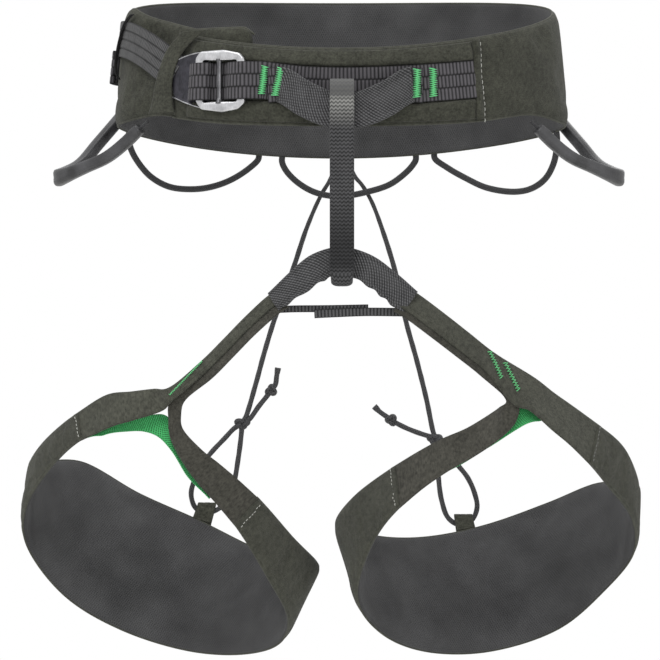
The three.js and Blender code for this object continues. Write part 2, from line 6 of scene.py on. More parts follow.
import bmesh
import bpy
import numpy as np
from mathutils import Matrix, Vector


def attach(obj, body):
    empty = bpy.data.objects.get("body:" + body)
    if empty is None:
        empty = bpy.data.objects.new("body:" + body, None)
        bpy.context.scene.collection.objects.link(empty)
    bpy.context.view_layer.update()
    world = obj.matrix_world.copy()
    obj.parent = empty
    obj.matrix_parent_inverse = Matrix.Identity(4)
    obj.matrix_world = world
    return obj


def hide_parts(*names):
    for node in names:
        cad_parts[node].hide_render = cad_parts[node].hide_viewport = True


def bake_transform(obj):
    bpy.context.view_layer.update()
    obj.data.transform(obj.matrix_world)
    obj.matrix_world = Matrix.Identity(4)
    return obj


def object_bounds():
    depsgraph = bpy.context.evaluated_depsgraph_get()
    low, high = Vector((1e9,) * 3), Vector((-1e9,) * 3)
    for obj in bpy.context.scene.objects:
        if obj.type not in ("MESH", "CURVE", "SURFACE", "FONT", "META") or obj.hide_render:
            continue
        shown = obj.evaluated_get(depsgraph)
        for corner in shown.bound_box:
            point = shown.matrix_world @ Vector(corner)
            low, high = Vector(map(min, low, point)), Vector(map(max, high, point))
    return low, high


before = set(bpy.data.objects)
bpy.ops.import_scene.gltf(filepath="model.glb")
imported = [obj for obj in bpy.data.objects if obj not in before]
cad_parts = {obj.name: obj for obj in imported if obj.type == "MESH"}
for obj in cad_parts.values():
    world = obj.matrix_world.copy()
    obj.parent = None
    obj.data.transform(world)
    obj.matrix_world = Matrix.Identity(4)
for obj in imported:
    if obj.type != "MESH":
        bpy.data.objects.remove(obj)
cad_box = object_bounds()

MM = 0.001
X_AXIS = np.array([1.0, 0.0, 0.0])
Z_AXIS = np.array([0.0, 0.0, 1.0])
SIDES = ("left", "right")
rng = np.random.default_rng(7)

# Sizes that the CAD model is built from
WAIST_HALF_WIDTH = 152
WAIST_HALF_DEPTH = 107
WAIST_FLARE = 0.1
WEBBING_WIDTH = 25
WEBBING_THICK = 1.8
WEBBING_OFF = 1.4
BUCKLE_X = -79
BUCKLE_Z = -17
RISER_DIAMETER = 3.7
REAR_LOOP_DIAMETER = 4.5
SLEEVE_RADIUS = 4.3
LEG_UP = np.array([0, 0.57, 0.82])


# ---------------------------------------------------------------- curves

class Path:
    """A smooth curve through points: the centripetal spline that the CAD model uses."""

    def __init__(self, points, closed=False):
        p = np.array(points, float)
        self.closed = closed
        if closed:
            self.ext = np.vstack([p[-1], p, p[0], p[1]])
            self.spans = len(p)
        else:
            self.ext = np.vstack([2 * p[0] - p[1], p, 2 * p[-1] - p[-2]])
            self.spans = len(p) - 1

    def at(self, t):
        t = np.atleast_1d(np.asarray(t, float))
        t = t % 1 if self.closed else np.clip(t, 0, 1)
        x = t * self.spans
        i = np.minimum(x.astype(int), self.spans - 1)
        w = (x - i)[:, None]
        p0, p1, p2, p3 = (self.ext[i + k] for k in range(4))
        d0, d1, d2 = (
            np.sqrt(np.maximum(np.linalg.norm(b - a, axis=1), 1e-6))[:, None]
            for a, b in ((p0, p1), (p1, p2), (p2, p3))
        )
        m1 = ((p1 - p0) / d0 - (p2 - p0) / (d0 + d1) + (p2 - p1) / d1) * d1
        m2 = ((p2 - p1) / d1 - (p3 - p1) / (d1 + d2) + (p3 - p2) / d2) * d1
        cubic = 2 * p1 - 2 * p2 + m1 + m2
        square = -3 * p1 + 3 * p2 - 2 * m1 - m2
        return ((cubic * w + square) * w + m1) * w + p1

    def even(self, spacing, start=0.0, end=1.0):
        """Points at an even spacing along a stretch of the curve."""
        return even(self.at(np.linspace(start, end, 1500)), spacing)


def sample(points, run, want):
    """Points of a polyline at the wanted lengths along it."""
    return np.stack([np.interp(want, run, points[:, k]) for k in range(3)], axis=1)


def even(points, spacing):
    """The same polyline, with points at an even spacing."""
    run = arc(points)
    count = max(3, int(round(run[-1] / spacing)))
    return sample(points, run, np.linspace(0, run[-1], count + 1))


def arc(points):
    """Length along a polyline at each of its points."""
    return np.concatenate([[0], np.cumsum(np.linalg.norm(np.diff(points, axis=0), axis=1))])


def unit(v):
    return v / np.maximum(np.linalg.norm(v, axis=-1, keepdims=True), 1e-9)


def smoothstep(x, low, high):
    x = np.clip((np.asarray(x, float) - low) / (high - low), 0, 1)
    return x * x * (3 - 2 * x)


def strap_frame(points, rise):
    """Across and outward directions along a strap whose width runs roughly along `rise`."""
    tangent = unit(np.gradient(points, axis=0))
    rise = np.broadcast_to(rise, points.shape)
    across = unit(rise - (rise * tangent).sum(1, keepdims=True) * tangent)
    return across, unit(np.cross(tangent, across))


# ---------------------------------------------------------------- meshes

def make(name, verts, faces, uv=None, materials=(), face_material=None):
    """A mesh object from millimetre points. `uv` is one pair per face corner, in millimetres."""
    mesh = bpy.data.meshes.new(name)
    mesh.from_pydata((np.asarray(verts) * MM).tolist(), [], faces)
    if uv is not None:
        layer = mesh.uv_layers.new(name="UVMap")
        layer.data.foreach_set("uv", np.asarray(uv, np.float32).ravel())
    for surface in materials:
        mesh.materials.append(surface)
    if face_material is not None:
        mesh.polygons.foreach_set("material_index", np.asarray(face_material, np.int32))
    mesh.polygons.foreach_set("use_smooth", [True] * len(mesh.polygons))
    mesh.update()
    piece = bpy.data.objects.new(name, mesh)
    bpy.context.scene.collection.objects.link(piece)
    return piece


def loft(name, rings, materials, endless=False, face_material=None, relief=None):
    """A closed skin through rings of equal length, (rings, points, 3), capped unless it is endless."""
    rings = np.asarray(rings, float)
    count, sides = rings.shape[:2]
    steps = np.linalg.norm(np.roll(rings, -1, axis=0) - rings, axis=2).mean(axis=1)
    along = np.concatenate([[0], np.cumsum(steps)])
    middle = rings[count // 2]
    girth = arc(np.vstack([middle, middle[:1]]))
    faces, uv, kinds = [], [], []
    for i in range(count if endless else count - 1):
        a, b = i * sides, ((i + 1) % count) * sides
        u0, u1 = along[i], along[i + 1]
        for j in range(sides):
            k = (j + 1) % sides
            faces.append((a + j, b + j, b + k, a + k))
            uv += [(u0, girth[j]), (u1, girth[j]), (u1, girth[j + 1]), (u0, girth[j + 1])]
            kinds.append(0 if face_material is None else int(face_material[j]))
    if not endless:
        last = (count - 1) * sides
        for cap in (range(sides), range(last + sides - 1, last - 1, -1)):
            faces.append(tuple(cap))
            uv += [(0.0, float(j)) for j in range(sides)]
            kinds.append(kinds[0])
    piece = make(name, rings.reshape(-1, 3), faces, uv, materials, kinds)
    if relief is not None:
        layer = piece.data.attributes.new("relief", "FLOAT", "POINT")
        layer.data.foreach_set("value", np.asarray(relief, np.float32).ravel())
    outward(piece)
    return piece


def outward(piece, weld=False):
    """Turns the faces outwards; `weld` merges the points that coincide first."""
    work = bmesh.new()
    work.from_mesh(piece.data)
    if weld:
        bmesh.ops.remove_doubles(work, verts=work.verts, dist=1e-6)
    bmesh.ops.recalc_face_normals(work, faces=work.faces)
    work.to_mesh(piece.data)
    work.free()


def sweep(name, points, across, out, section, materials, endless=False, relief=None, width=None):
    """A section of (across, out) pairs carried along a line; `width` scales it across at each point."""
    section = np.asarray(section, float)
    if section.ndim == 2:
        section = np.broadcast_to(section, (len(points),) + section.shape)
    u, v = section[..., 0], section[..., 1]
    if width is not None:
        u = u * np.asarray(width, float)[:, None]
    rings = points[:, None] + across[:, None] * u[..., None] + out[:, None] * v[..., None]
    return loft(name, rings, materials, endless=endless, relief=relief)


def tube(name, points, radius, materials, sides=12, endless=False):
    """A round tube along a polyline; `radius` may be one number or one at each point."""
    points = np.asarray(points, float)
    tangent = unit(np.gradient(points, axis=0))
    if endless:
        tangent = unit(np.roll(points, -1, axis=0) - np.roll(points, 1, axis=0))
    start = np.cross(tangent[0], Z_AXIS if abs(tangent[0][2]) < 0.8 else X_AXIS)
    normals = [unit(start)]
    for t in tangent[1:]:
        n = normals[-1] - normals[-1].dot(t) * t
        normals.append(unit(n))
    normals = np.array(normals)
    other = np.cross(tangent, normals)
    turn = np.linspace(0, 2 * np.pi, sides, endpoint=False)
    r = np.broadcast_to(radius, (len(points),))[:, None, None]
    circle = np.cos(turn)[:, None] * normals[:, None] + np.sin(turn)[:, None] * other[:, None]
    return loft(name, points[:, None] + r * circle, materials, endless=endless)


def merge(name, pieces):
    """Joins pieces into one object of one material."""
    verts, faces, uv = [], [], []
    start = 0
    for piece in pieces:
        mesh = piece.data
        verts += [tuple(v.co / MM) for v in mesh.vertices]
        faces += [tuple(start + i for i in p.vertices) for p in mesh.polygons]
        uv += [tuple(d.uv) for d in mesh.uv_layers[0].data]
        start += len(mesh.vertices)
    surface = pieces[0].data.materials[0]
    for piece in pieces:
        mesh = piece.data
        bpy.data.objects.remove(piece)
        bpy.data.meshes.remove(mesh)
    return make(name, verts, faces, uv, [surface])


def settle(piece, body, slot, *nodes):
    """Rides on a body and stands for CAD nodes, which it hides; the slot is not used."""
    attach(piece, body)
    if nodes:
        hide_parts(*nodes)


def stitches(name, points, normals, surface, dash=2.3, radius=0.28, wander=0.0):
    """A row of thread dashes along a line, each dipping into the cloth at its ends."""
    gap = 1.3
    lift = 0.15
    points = np.asarray(points, float)
    normals = np.broadcast_to(normals, points.shape)
    run = arc(points)
    rows = []
    start = gap / 2
    while start + dash < run[-1]:
        want = np.linspace(start, start + dash, 5)
        line = sample(points, run, want)
        normal = unit(sample(normals, run, want))
        side = unit(np.cross(normal, line[-1] - line[0]))
        height = lift - radius * 1.6 * np.array([1, 0.25, 0, 0.25, 1])
        line = line + normal * height[:, None] + side * rng.uniform(-wander, wander)
        rows.append(tube(f"{name}_{len(rows)}", line, radius, [surface], sides=6))
        start += dash + gap * rng.uniform(0.8, 1.2)
    return merge(name, rows)


def bartack(name, start, end, normal, width, surface, count=13, radius=0.36):
    """A bar tack: a dense zigzag of thread from one end to the other, lying on a face."""
    start, end = np.asarray(start, float), np.asarray(end, float)
    over = unit(np.cross(normal, end - start))
    steps = np.arange(2 * count + 1)
    reach = np.where(steps % 2, 0.5, -0.5) * width * rng.uniform(0.88, 1.08, len(steps))
    corners = start + np.outer(steps / (2 * count), end - start) + np.outer(reach, over)
    line = np.empty((4 * count + 1, 3))
    line[0::2] = corners
    line[1::2] = (corners[1:] + corners[:-1]) / 2 + np.asarray(normal) * 0.35
    return tube(name, line, radius, [surface], sides=6)


# ---------------------------------------------------------------- materials

def rgb(r, g, b, gain=1.0):
    """A linear colour from display values of 0 to 255."""
    parts = [c / 255 for c in (r, g, b)]
    linear = [c / 12.92 if c <= 0.04045 else ((c + 0.055) / 1.055) ** 2.4 for c in parts]
    return tuple(c * gain for c in linear) + (1.0,)


CLOTH_GAIN = 0.42


def cloth(r, g, b):
    """A cloth colour as it shows in the studio light, which is brighter than daylight white."""
    return rgb(r, g, b, CLOTH_GAIN)


class Surface:
    """A Principled material whose detail is built from nodes."""

    def __init__(self, name, roughness, metallic=0.0, sheen=0.0, coat=0.0, specular=0.5):
        self.material = bpy.data.materials.new(name)
        self.material.use_nodes = True
        self.tree = self.material.node_tree
        self.shader = self.tree.nodes["Principled BSDF"]
        values = {"Roughness": roughness, "Metallic": metallic, "Sheen Weight": sheen,
                  "Sheen Roughness": 0.6, "Coat Weight": coat, "Specular IOR Level": specular}
        for socket, value in values.items():
            self.shader.inputs[socket].default_value = value

    def put(self, socket, value):
        """Links a socket to another node's output, or sets its value."""
        if hasattr(value, "is_output"):
            self.tree.links.new(value, socket)
        else:
            socket.default_value = value

    def node(self, kind, inputs=(), **settings):
        """A node with its settings and with (socket, value) pairs for its inputs."""
        node = self.tree.nodes.new(kind)
        for key, value in settings.items():
            setattr(node, key, value)
        for socket, value in inputs:
            self.put(node.inputs[socket], value)
        return node

    def math(self, operation, *terms):
        return self.node("ShaderNodeMath", enumerate(terms), operation=operation).outputs[0]

    def total(self, *terms):
        """The sum of sockets, each with its weight."""
        result = self.math("MULTIPLY", *terms[0])
        for socket, weight in terms[1:]:
            result = self.math("MULTIPLY_ADD", socket, weight, result)
        return result

    def flat_place(self):
        """The place on the unrolled piece, in millimetres."""
        return self.node("ShaderNodeUVMap", uv_map="UVMap").outputs[0]

    def solid_place(self):
        """The place in space, in metres."""
        return self.node("ShaderNodeTexCoord").outputs["Object"]

    def split(self, place):
        return self.node("ShaderNodeSeparateXYZ", [(0, place)]).outputs

    def wave(self, x, period):
        """0 to 1 and back over each period."""
        sine = self.math("SINE", self.math("MULTIPLY", x, 2 * math.pi / period))
        return self.math("MULTIPLY_ADD", sine, 0.5, 0.5)

    def diagonals(self, slope, period):
        """Waves along the cloth's two diagonals."""
        u, v, _ = self.split(self.flat_place())
        return [self.wave(self.math("MULTIPLY_ADD", v, k, u), period) for k in (slope, -slope)]

    def noise(self, size, detail=3.0, solid=False):
        """Noise whose patches are about `size` millimetres."""
        place, scale = (self.solid_place(), 1 / (size * MM)) if solid else (self.flat_place(), 1 / size)
        inputs = [("Vector", place), ("Scale", scale), ("Detail", detail)]
        return self.node("ShaderNodeTexNoise", inputs).outputs["Fac"]

    def blend(self, factor, low, high, a, b):
        """Colour a where the factor is `low`, b where it is `high`."""
        ramp = self.node("ShaderNodeMapRange", [("Value", factor), ("From Min", low), ("From Max", high)])
        mix = self.node("ShaderNodeMix", [("Factor", ramp.outputs[0]), (6, a), (7, b)], data_type="RGBA")
        return mix.outputs[2]

    def colour(self, factor, low, high, dark, light, scale=cloth):
        """A base colour from dark to light, from display values of 0 to 255."""
        mixed = self.blend(factor, low, high, scale(*dark), scale(*light))
        self.put(self.shader.inputs["Base Color"], mixed)

    def rough(self, factor, low, high):
        ramp = self.node("ShaderNodeMapRange", [("Value", factor), ("To Min", low), ("To Max", high)])
        self.put(self.shader.inputs["Roughness"], ramp.outputs[0])

    def bump(self, height, depth):
        """Bump of `depth` millimetres."""
        node = self.node("ShaderNodeBump", [("Distance", depth * MM), ("Strength", 1.0), ("Height", height)])
        self.put(self.shader.inputs["Normal"], node.outputs[0])


def woven(name, dark, light, pitch=0.7):
    """Plain-woven cloth: crossing threads, a fine grain and slow patches of tone."""
    s = Surface(name, 0.85, sheen=0.06, specular=0.12)
    crossing = s.math("MULTIPLY", *s.diagonals(1.0, pitch))
    fine = s.noise(1.4, 4.0)
    fleck = s.noise(3.08, 2.0, solid=True)
    slow = s.noise(22.0, 2.0, solid=True)
    s.colour(s.total((fine, 0.5), (slow, 0.2), (fleck, 0.35), (crossing, 0.16)), 0.42, 0.76, dark, light)
    s.rough(fine, 0.78, 0.95)
    s.bump(s.total((crossing, 1.0), (fine, 1.2)), 0.12)
    return s.material


def spacer_mesh(name, dark, light):
    """Knitted spacer mesh: rows of small eyelets, offset like bricks."""
    s = Surface(name, 0.9, sheen=0.06, specular=0.1)
    eyelet = s.math("MULTIPLY", *s.diagonals(0.55, 1.7))
    fine = s.noise(0.9)
    slow = s.noise(30.0, 2.0, solid=True)
    s.colour(s.total((eyelet, -0.22), (fine, 0.35), (slow, 0.5)), 0.12, 0.6, dark, light)
    s.bump(s.total((fine, 0.6), (eyelet, -1.0)), 0.25)
    return s.material


def ribbed(name, dark, light, belay=False):
    """Webbing: the relief of its woven ribs sets the tone, as painted shade that darkens the valleys between
    ribs, over fine filaments.
    """
    s = Surface(name, 0.7, sheen=0.05, specular=0.16)
    u = s.split(s.flat_place())[0]
    filament = s.math("MULTIPLY", s.wave(u, 0.42), s.noise(1.1))
    worn = s.noise(7.0)
    relief = s.node("ShaderNodeAttribute", attribute_name="relief").outputs["Fac"]
    # Painted shade: the deeper a point lies between the ribs, the darker its colour
    rib = s.math("POWER", relief, 1.7)
    tone = s.total((rib, 0.85), (worn, 0.3), (filament, 0.2))
    base = s.blend(tone, 0.18, 1.1, cloth(*dark), cloth(*light))
    if belay:
        # Painted light by height, in metres: a painted highlight over the top, brightest just below the
        # tie-in cover, where the loop bends over towards the light, and painted shade on the lower part in
        # front of the bridge
        height = s.split(s.solid_place())[2]
        wear_and_highlight = s.blend(tone, 0.15, 1.0, cloth(34, 34, 36), cloth(190, 190, 186))
        painted_top_highlight = s.blend(tone, 0.15, 1.0, cloth(*light), cloth(122, 122, 120))
        painted_lower_shade = s.blend(tone, 0.15, 1.0, cloth(3, 3, 4), cloth(66, 66, 68))
        base = s.blend(height, -0.050, -0.034, base, wear_and_highlight)
        base = s.blend(height, -0.031, -0.027, base, painted_top_highlight)
        # Painted shade on the loop's lower part, in front of the bridge; the foot below the bridge keeps the
        # plain tone
        lower = s.blend(height, -0.125, -0.095, painted_lower_shade, base)
        base = s.blend(height, -0.147, -0.139, base, lower)
    s.put(s.shader.inputs["Base Color"], base)
    s.bump(s.total((filament, 1.0), (worn, 0.5)), 0.12)
    return s.material


def twill(name, dark, light):
    """Tight twill of the wear covers: rows of small raised floats along a diagonal."""
    s = Surface(name, 0.75, sheen=0.05, specular=0.12)
    u, v, _ = s.split(s.flat_place())
    diagonal = s.wave(s.math("MULTIPLY_ADD", v, 0.8, u), 2.2)
    crossing = s.wave(s.math("MULTIPLY_ADD", u, -0.35, v), 1.98)
    floats = s.math("MULTIPLY", diagonal, s.math("MULTIPLY_ADD", crossing, 0.65, 0.35))
    fine = s.noise(1.5, 4.0)
    slow = s.noise(9.0, 2.0)
    s.colour(s.total((floats, 0.75), (fine, 0.35), (slow, 0.3)), 0.2, 1.05, dark, light)
    s.bump(s.total((floats, 1.0), (fine, 0.5)), 0.3)
    return s.material


def braided(name, dark, light, pitch=2.2):
    """Cord sheath: two families of strands that cross."""
    s = Surface(name, 0.72, sheen=0.05, specular=0.2)
    strands = s.math("MAXIMUM", *s.diagonals(0.9, pitch))
    fine = s.noise(0.8)
    s.colour(s.total((strands, 0.7), (fine, 0.4)), 0.3, 1.0, dark, light)
    s.bump(s.total((strands, 1.0), (fine, 0.4)), 0.22)
    return s.material


def thread(name, dark, light):
    """Twisted sewing thread."""
    s = Surface(name, 0.6, sheen=0.2, specular=0.4)
    ply = s.wave(s.math("ADD", *s.split(s.flat_place())[:2]), 0.8)
    s.colour(s.total((ply, 0.6), (s.noise(2.0), 0.4)), 0.2, 0.8, dark, light, rgb)
    s.bump(ply, 0.08)
    return s.material


def moulded(name, dark, light):
    """Moulded plastic sleeve: fine pebble, rubbed lighter in patches."""
    s = Surface(name, 0.42, coat=0.05, specular=0.4)
    pebble = s.noise(0.7, 4.0, solid=True)
    wear_and_highlight = s.noise(14.0, 4.0, solid=True)
    s.colour(s.total((wear_and_highlight, 0.8), (pebble, 0.2)), 0.35, 0.68, dark, light)
    s.rough(wear_and_highlight, 0.34, 0.55)
    s.bump(pebble, 0.05)
    return s.material


def metal(name, dark, light, smoothest, roughest, metallic=1.0):
    """Brushed and rubbed metal: long scratches, with small dull patches."""
    s = Surface(name, 0.3, metallic=metallic)
    brushed = s.node("ShaderNodeMapping", [("Vector", s.solid_place()), ("Scale", (900, 60, 60))])
    inputs = [("Vector", brushed.outputs[0]), ("Scale", 8.0), ("Detail", 5.0)]
    lines = s.node("ShaderNodeTexNoise", inputs).outputs["Fac"]
    dull = s.noise(5.0, 4.0, solid=True)
    s.colour(s.total((lines, 0.5), (dull, 0.5)), 0.35, 0.65, dark, light, rgb)
    s.rough(s.total((dull, 0.6), (lines, 0.4)), smoothest, roughest)
    s.bump(lines, 0.015)
    return s.material


def green_mesh(name):
    """Knitted green mesh: bright threads round small dark holes."""
    s = Surface(name, 0.6, sheen=0.05, specular=0.15)
    hole = s.math("MULTIPLY", *s.diagonals(0.6, 1.5))
    closed = s.math("SUBTRACT", 0.85, hole)
    s.colour(s.total((closed, 1.0), (s.noise(2.5), 0.35)), 0.2, 1.1, (8, 58, 24), (104, 255, 150))
    s.bump(s.math("SUBTRACT", 1.0, hole), 0.3)
    return s.material


OLIVE = woven("olive_fabric", (54, 55, 46), (106, 107, 94))
OLIVE_LEG = woven("olive_leg_fabric", (66, 67, 58), (116, 117, 104))
OLIVE_DARK = woven("olive_inner_fabric", (62, 61, 54), (112, 110, 100))
OLIVE_EDGE = woven("olive_edge", (78, 79, 70), (112, 113, 101), pitch=1.1)
LINING = spacer_mesh("lining_mesh", (60, 60, 61), (112, 112, 113))
WEBBING = ribbed("grey_webbing", (4, 4, 5), (124, 121, 126))
TAIL_WEBBING = ribbed("tail_webbing", (8, 8, 9), (132, 132, 133))
BELAY_WEBBING = ribbed("belay_webbing", (3, 3, 4), (110, 110, 112), belay=True)
COVER = twill("wear_cover", (5, 5, 6), (139, 139, 141))
CORD = braided("cord_sheath", (54, 54, 56), (106, 106, 108))
GEAR_CORD = braided("gear_cord_sheath", (38, 38, 40), (92, 92, 94), pitch=1.6)
DARK_STRAP = ribbed("dark_strap", (3, 3, 4), (124, 124, 126))
SLEEVE = moulded("moulded_sleeve", (52, 52, 54), (96, 96, 99))
GREEN_MESH = green_mesh("green_mesh")
GREEN_THREAD = thread("green_thread", (20, 140, 66), (112, 214, 142))
PALE_THREAD = thread("pale_thread", (120, 120, 114), (205, 205, 198))
GREY_THREAD = thread("grey_thread", (60, 60, 58), (120, 120, 116))
SILVER = metal("bright_aluminium", (158, 158, 160), (206, 206, 208), 0.22, 0.42)
SILVER_DULL = metal("worn_aluminium", (120, 120, 122), (182, 182, 185), 0.3, 0.5)
# Painted shade: a darker copy of the frame's aluminium for the buckle's centre bar, which sits in shade in
# the window
SHADED_BAR_METAL = metal("shaded_bar_aluminium", (62, 62, 64), (112, 112, 115), 0.3, 0.5, metallic=0.7)
ANODISED = metal("anodised_aluminium", (26, 26, 30), (62, 61, 68), 0.3, 0.5, metallic=0.6)


# ---------------------------------------------------------------- camera, light and floor

CAMERA_AT = (-6.2, -2200, -181.5)
VIEW_WIDTH = 457.4
SENSOR = 36

camera_data = bpy.data.cameras.new("camera")
camera_data.sensor_width = SENSOR
camera_data.lens = SENSOR * -CAMERA_AT[1] / VIEW_WIDTH
camera = bpy.data.objects.new("camera", camera_data)
camera.location = Vector(CAMERA_AT) * MM
camera.rotation_euler = (math.pi / 2, 0, 0)
bpy.context.scene.collection.objects.link(camera)
bpy.context.scene.camera = camera
bpy.context.scene.view_settings.view_transform = "Standard"

world = bpy.data.worlds.new("studio")
bpy.context.scene.world = world
world.use_nodes = True
sky = world.node_tree.nodes["Background"].inputs
sky["Color"].default_value = (1, 1, 1, 1)
sky["Strength"].default_value = 1.0

LIGHT_AIM = Vector((0, 0, -0.18))
LIGHTS = {
    "key": ((-1.2, -1.8, 1.5), 1.0, 34),
    "fill": ((1.6, -1.5, 0.5), 1.6, 9),
    "top": ((0.0, 0.2, 1.9), 1.4, 16),
    "back": ((0.5, 1.9, 0.8), 1.6, 12),
}
for name, (place, size, power) in LIGHTS.items():
    light_data = bpy.data.lights.new(name, "AREA")
    light_data.size = size
    light_data.energy = power
    light = bpy.data.objects.new(name, light_data)
    light.location = place
    light.rotation_euler = (LIGHT_AIM - light.location).to_track_quat("-Z", "Y").to_euler()
    bpy.context.scene.collection.objects.link(light)

FLOOR_DROP = 500
FLOOR_RADIUS = 2600
floor_z = cad_box[0][2] / MM - FLOOR_DROP
floor_rim = [(FLOOR_RADIUS * math.cos(a), FLOOR_RADIUS * math.sin(a), floor_z)
             for a in np.linspace(0, 2 * np.pi, 65)[:-1]]
pale = Surface("pale_floor", 0.8)
pale.colour(pale.noise(400.0, 2.0, solid=True), 0.3, 0.7, (232, 232, 230), (240, 240, 238), rgb)
floor = make("floor", floor_rim, [tuple(range(64))], materials=[pale.material])


# ---------------------------------------------------------------- cords: the elastic risers

RISERS = {
    "left": {
        "upper": [[0.5, 108.5, -56.5], [-6, 108, -72], [-13, 108, -84], [-23, 108, -107],
                  [-33, 108, -137], [-46, 109, -172], [-54, 109, -198], [-60, 110, -220],
                  [-67.5, 110, -244.8]],
        "loop": [[-70.5, 110, -254.4], [-73, 111, -275], [-77, 114, -295], [-85, 118.5, -310],
                 [-95, 120.8, -315], [-104, 120.6, -312], [-107.5, 116.5, -302], [-105, 112, -291],
                 [-99, 111, -279], [-92, 110.6, -270], [-83, 110.4, -260.5], [-75.6, 110.2, -252.8]],
        "tail": [[-64.7, 110, -246.2], [-58, 110, -237], [-52, 110, -229.5], [-49, 110, -225.5],
                 [-46, 110, -221.5], [-45, 110, -215], [-44, 110, -209]],
        "knot": [-70, 110, -249.5],
        "stopper": [-49, 110, -225.5],
    },
    "right": {
        "upper": [[6.5, 108.5, -56.5], [12, 108, -70], [17, 108, -76], [24, 108, -88],
                  [33, 108, -112], [42, 108, -142], [49, 108.5, -175], [57, 109, -204],
                  [64, 110, -232], [69, 110, -256]],
        "loop": [[70.5, 110.4, -265.8], [72.5, 112, -286], [75, 113, -305], [80, 115, -318.5],
                 [88, 116.4, -323.5], [97, 116.4, -320.5], [101, 114, -311], [99, 112.4, -300],
                 [94, 111.6, -289], [87, 110.8, -280], [75.6, 110.2, -266.2]],
        "tail": [[64.2, 110, -258.3], [52, 110, -254], [43.5, 110, -250], [38.5, 110, -247],
                 [33.5, 110, -243.5], [30, 110, -241], [26, 110, -237]],
        "knot": [70, 110, -261],
        "stopper": [38.5, 110, -247],
    },
}


def overhand(name, centre, size, height, direction, radius):
    """An overhand knot drawn tight: the trefoil line, flattened and laid along a direction."""
    turn = np.linspace(0, 2 * np.pi, 73)[:-1]
    local = np.stack([np.sin(turn) + 2 * np.sin(2 * turn),
                      np.cos(turn) - 2 * np.cos(2 * turn),
                      -1.6 * np.sin(3 * turn)], axis=1) / 3
    along = unit(np.asarray(direction, float))
    side = unit(np.cross(along, [0, 1, 0]))
    depth = np.cross(side, along)
    reach, rise = size / 2 - radius, height / 2 - radius
    points = (np.asarray(centre) + np.outer(local[:, 0] * reach, along)
              + np.outer(local[:, 1] * rise, side) + np.outer(local[:, 2] * rise, depth))
    return tube(name, points, radius, [CORD], sides=10, endless=True)


CORD_UNEVEN = 0.03
CORD_DRAWN_IN = 0.19
CORD_END_FLARE = 0.22


def cord_radius(points, part):
    """A sheath's radius: slightly uneven, drawn thinner below the belt and wider at the bare end."""
    run = arc(points)
    change = CORD_UNEVEN * np.sin(run / 1.9)
    if part == "upper":
        change -= CORD_DRAWN_IN * (1 - smoothstep(run, 40, 75))
    if part == "tail":
        change += CORD_END_FLARE * smoothstep(run, run[-1] - 4.5, run[-1] - 2.5)
    return RISER_DIAMETER / 2 * (1 + change)


GRIP_KNOT = {"size": 13, "height": 9.6, "radius": 1.8}
STOPPER_KNOT = {"size": 10.2, "height": 9.6, "radius": 1.65}

for side in SIDES:
    riser = RISERS[side]
    knot = overhand(f"riser_grip_knot_{side}", riser["knot"], direction=X_AXIS, **GRIP_KNOT)
    settle(knot, "leg_harness", "elastic", f"riser_knot_{side}")
    tail_way = np.subtract(riser["tail"][4], riser["tail"][2])
    stopper = overhand(f"riser_stopper_knot_{side}", riser["stopper"], direction=tail_way, **STOPPER_KNOT)
    settle(stopper, "leg_harness", "elastic", f"riser_stopper_{side}")

    # Each run goes on into its knot
    grip = np.array(riser["knot"], float)
    upper, loop, tail = riser["upper"], riser["loop"], riser["tail"]
    routes = {
        "upper": upper + [grip + [0.5, 0, 1.5]],
        "loop": [grip + [-0.5, 0, -1.5]] + loop + [grip + [-1.5, 0, -1.0]],
        "tail": [grip + [1.5, 0, 1.0]] + tail,
    }
    runs = {}
    for part, route in routes.items():
        line = Path(route).even(1.6)
        runs[part] = tube(f"riser_cord_{part}_{side}", line, cord_radius(line, part), [CORD])
        float(arc(line)[-1] * MM)
    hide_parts(f"riser_upper_{side}")
    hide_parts(f"riser_loop_{side}")
    settle(runs["tail"], "leg_harness", "elastic", f"riser_tail_{side}", f"riser_end_{side}")
    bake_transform(runs["upper"])
    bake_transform(runs["loop"])


# ---------------------------------------------------------------- the belt's surface

def belt_top(s):
    """The belt's upper edge; `s` is the sine of the angle round the waist."""
    return 39 + 25.3 * s - 9.3 * s * s


def belt_bottom(s):
    """The belt's lower edge, drawn up a little where the front gear loops leave it."""
    return -40.5 - 5 * s - 11 * s * s + 5 * np.exp(-(((s + 0.57) / 0.2) ** 2))


# The soft belt bulges a little on its right side, and its upper edge stands up at the left shoulder
RIGHT_SIDE_SWELL = 3.5
SHOULDER_RISE = 4.2


def belt_point(angle, z, off):
    """A point off the belt's outer face; `angle` is in degrees from +X towards +Y."""
    a = np.radians(angle)
    width = WAIST_HALF_WIDTH - WAIST_FLARE * np.asarray(z, float) + off
    x = width * np.cos(a) + RIGHT_SIDE_SWELL * smoothstep(np.cos(a), 0.55, 1.0)
    y = (WAIST_HALF_DEPTH + off) * np.sin(a)
    return np.stack(np.broadcast_arrays(x, y, z), axis=-1).astype(float)


LEFT_END = -114
RIGHT_END = -497
OVERLAP_DEPTH = 7.6
INNER_END_TOP = 20.2
INNER_END_CLIMB = 0.5
INNER_END_CORNER = 5


def band_top(angle):
    """The pad's upper edge: lower at the inner end, up to the belt's own line at the side."""
    degrees = -angle
    slope = INNER_END_TOP + INNER_END_CLIMB * np.maximum(0, degrees - 134)
    side = smoothstep(degrees, 156, 176)
    level = slope + (belt_top(np.sin(np.radians(angle))) - slope) * side
    shoulder = SHOULDER_RISE * np.exp(-(((degrees - 167) / 8) ** 2))
    return level + shoulder - INNER_END_CORNER * (1 - smoothstep(degrees, 114, 118)) ** 2


def band_bottom(angle):
    """The pad's lower edge, which is the belt's all round."""
    return belt_bottom(np.sin(np.radians(angle)))


PAD_ROWS = 20
PAD_BEND = 4
PAD_THIN = 1.5


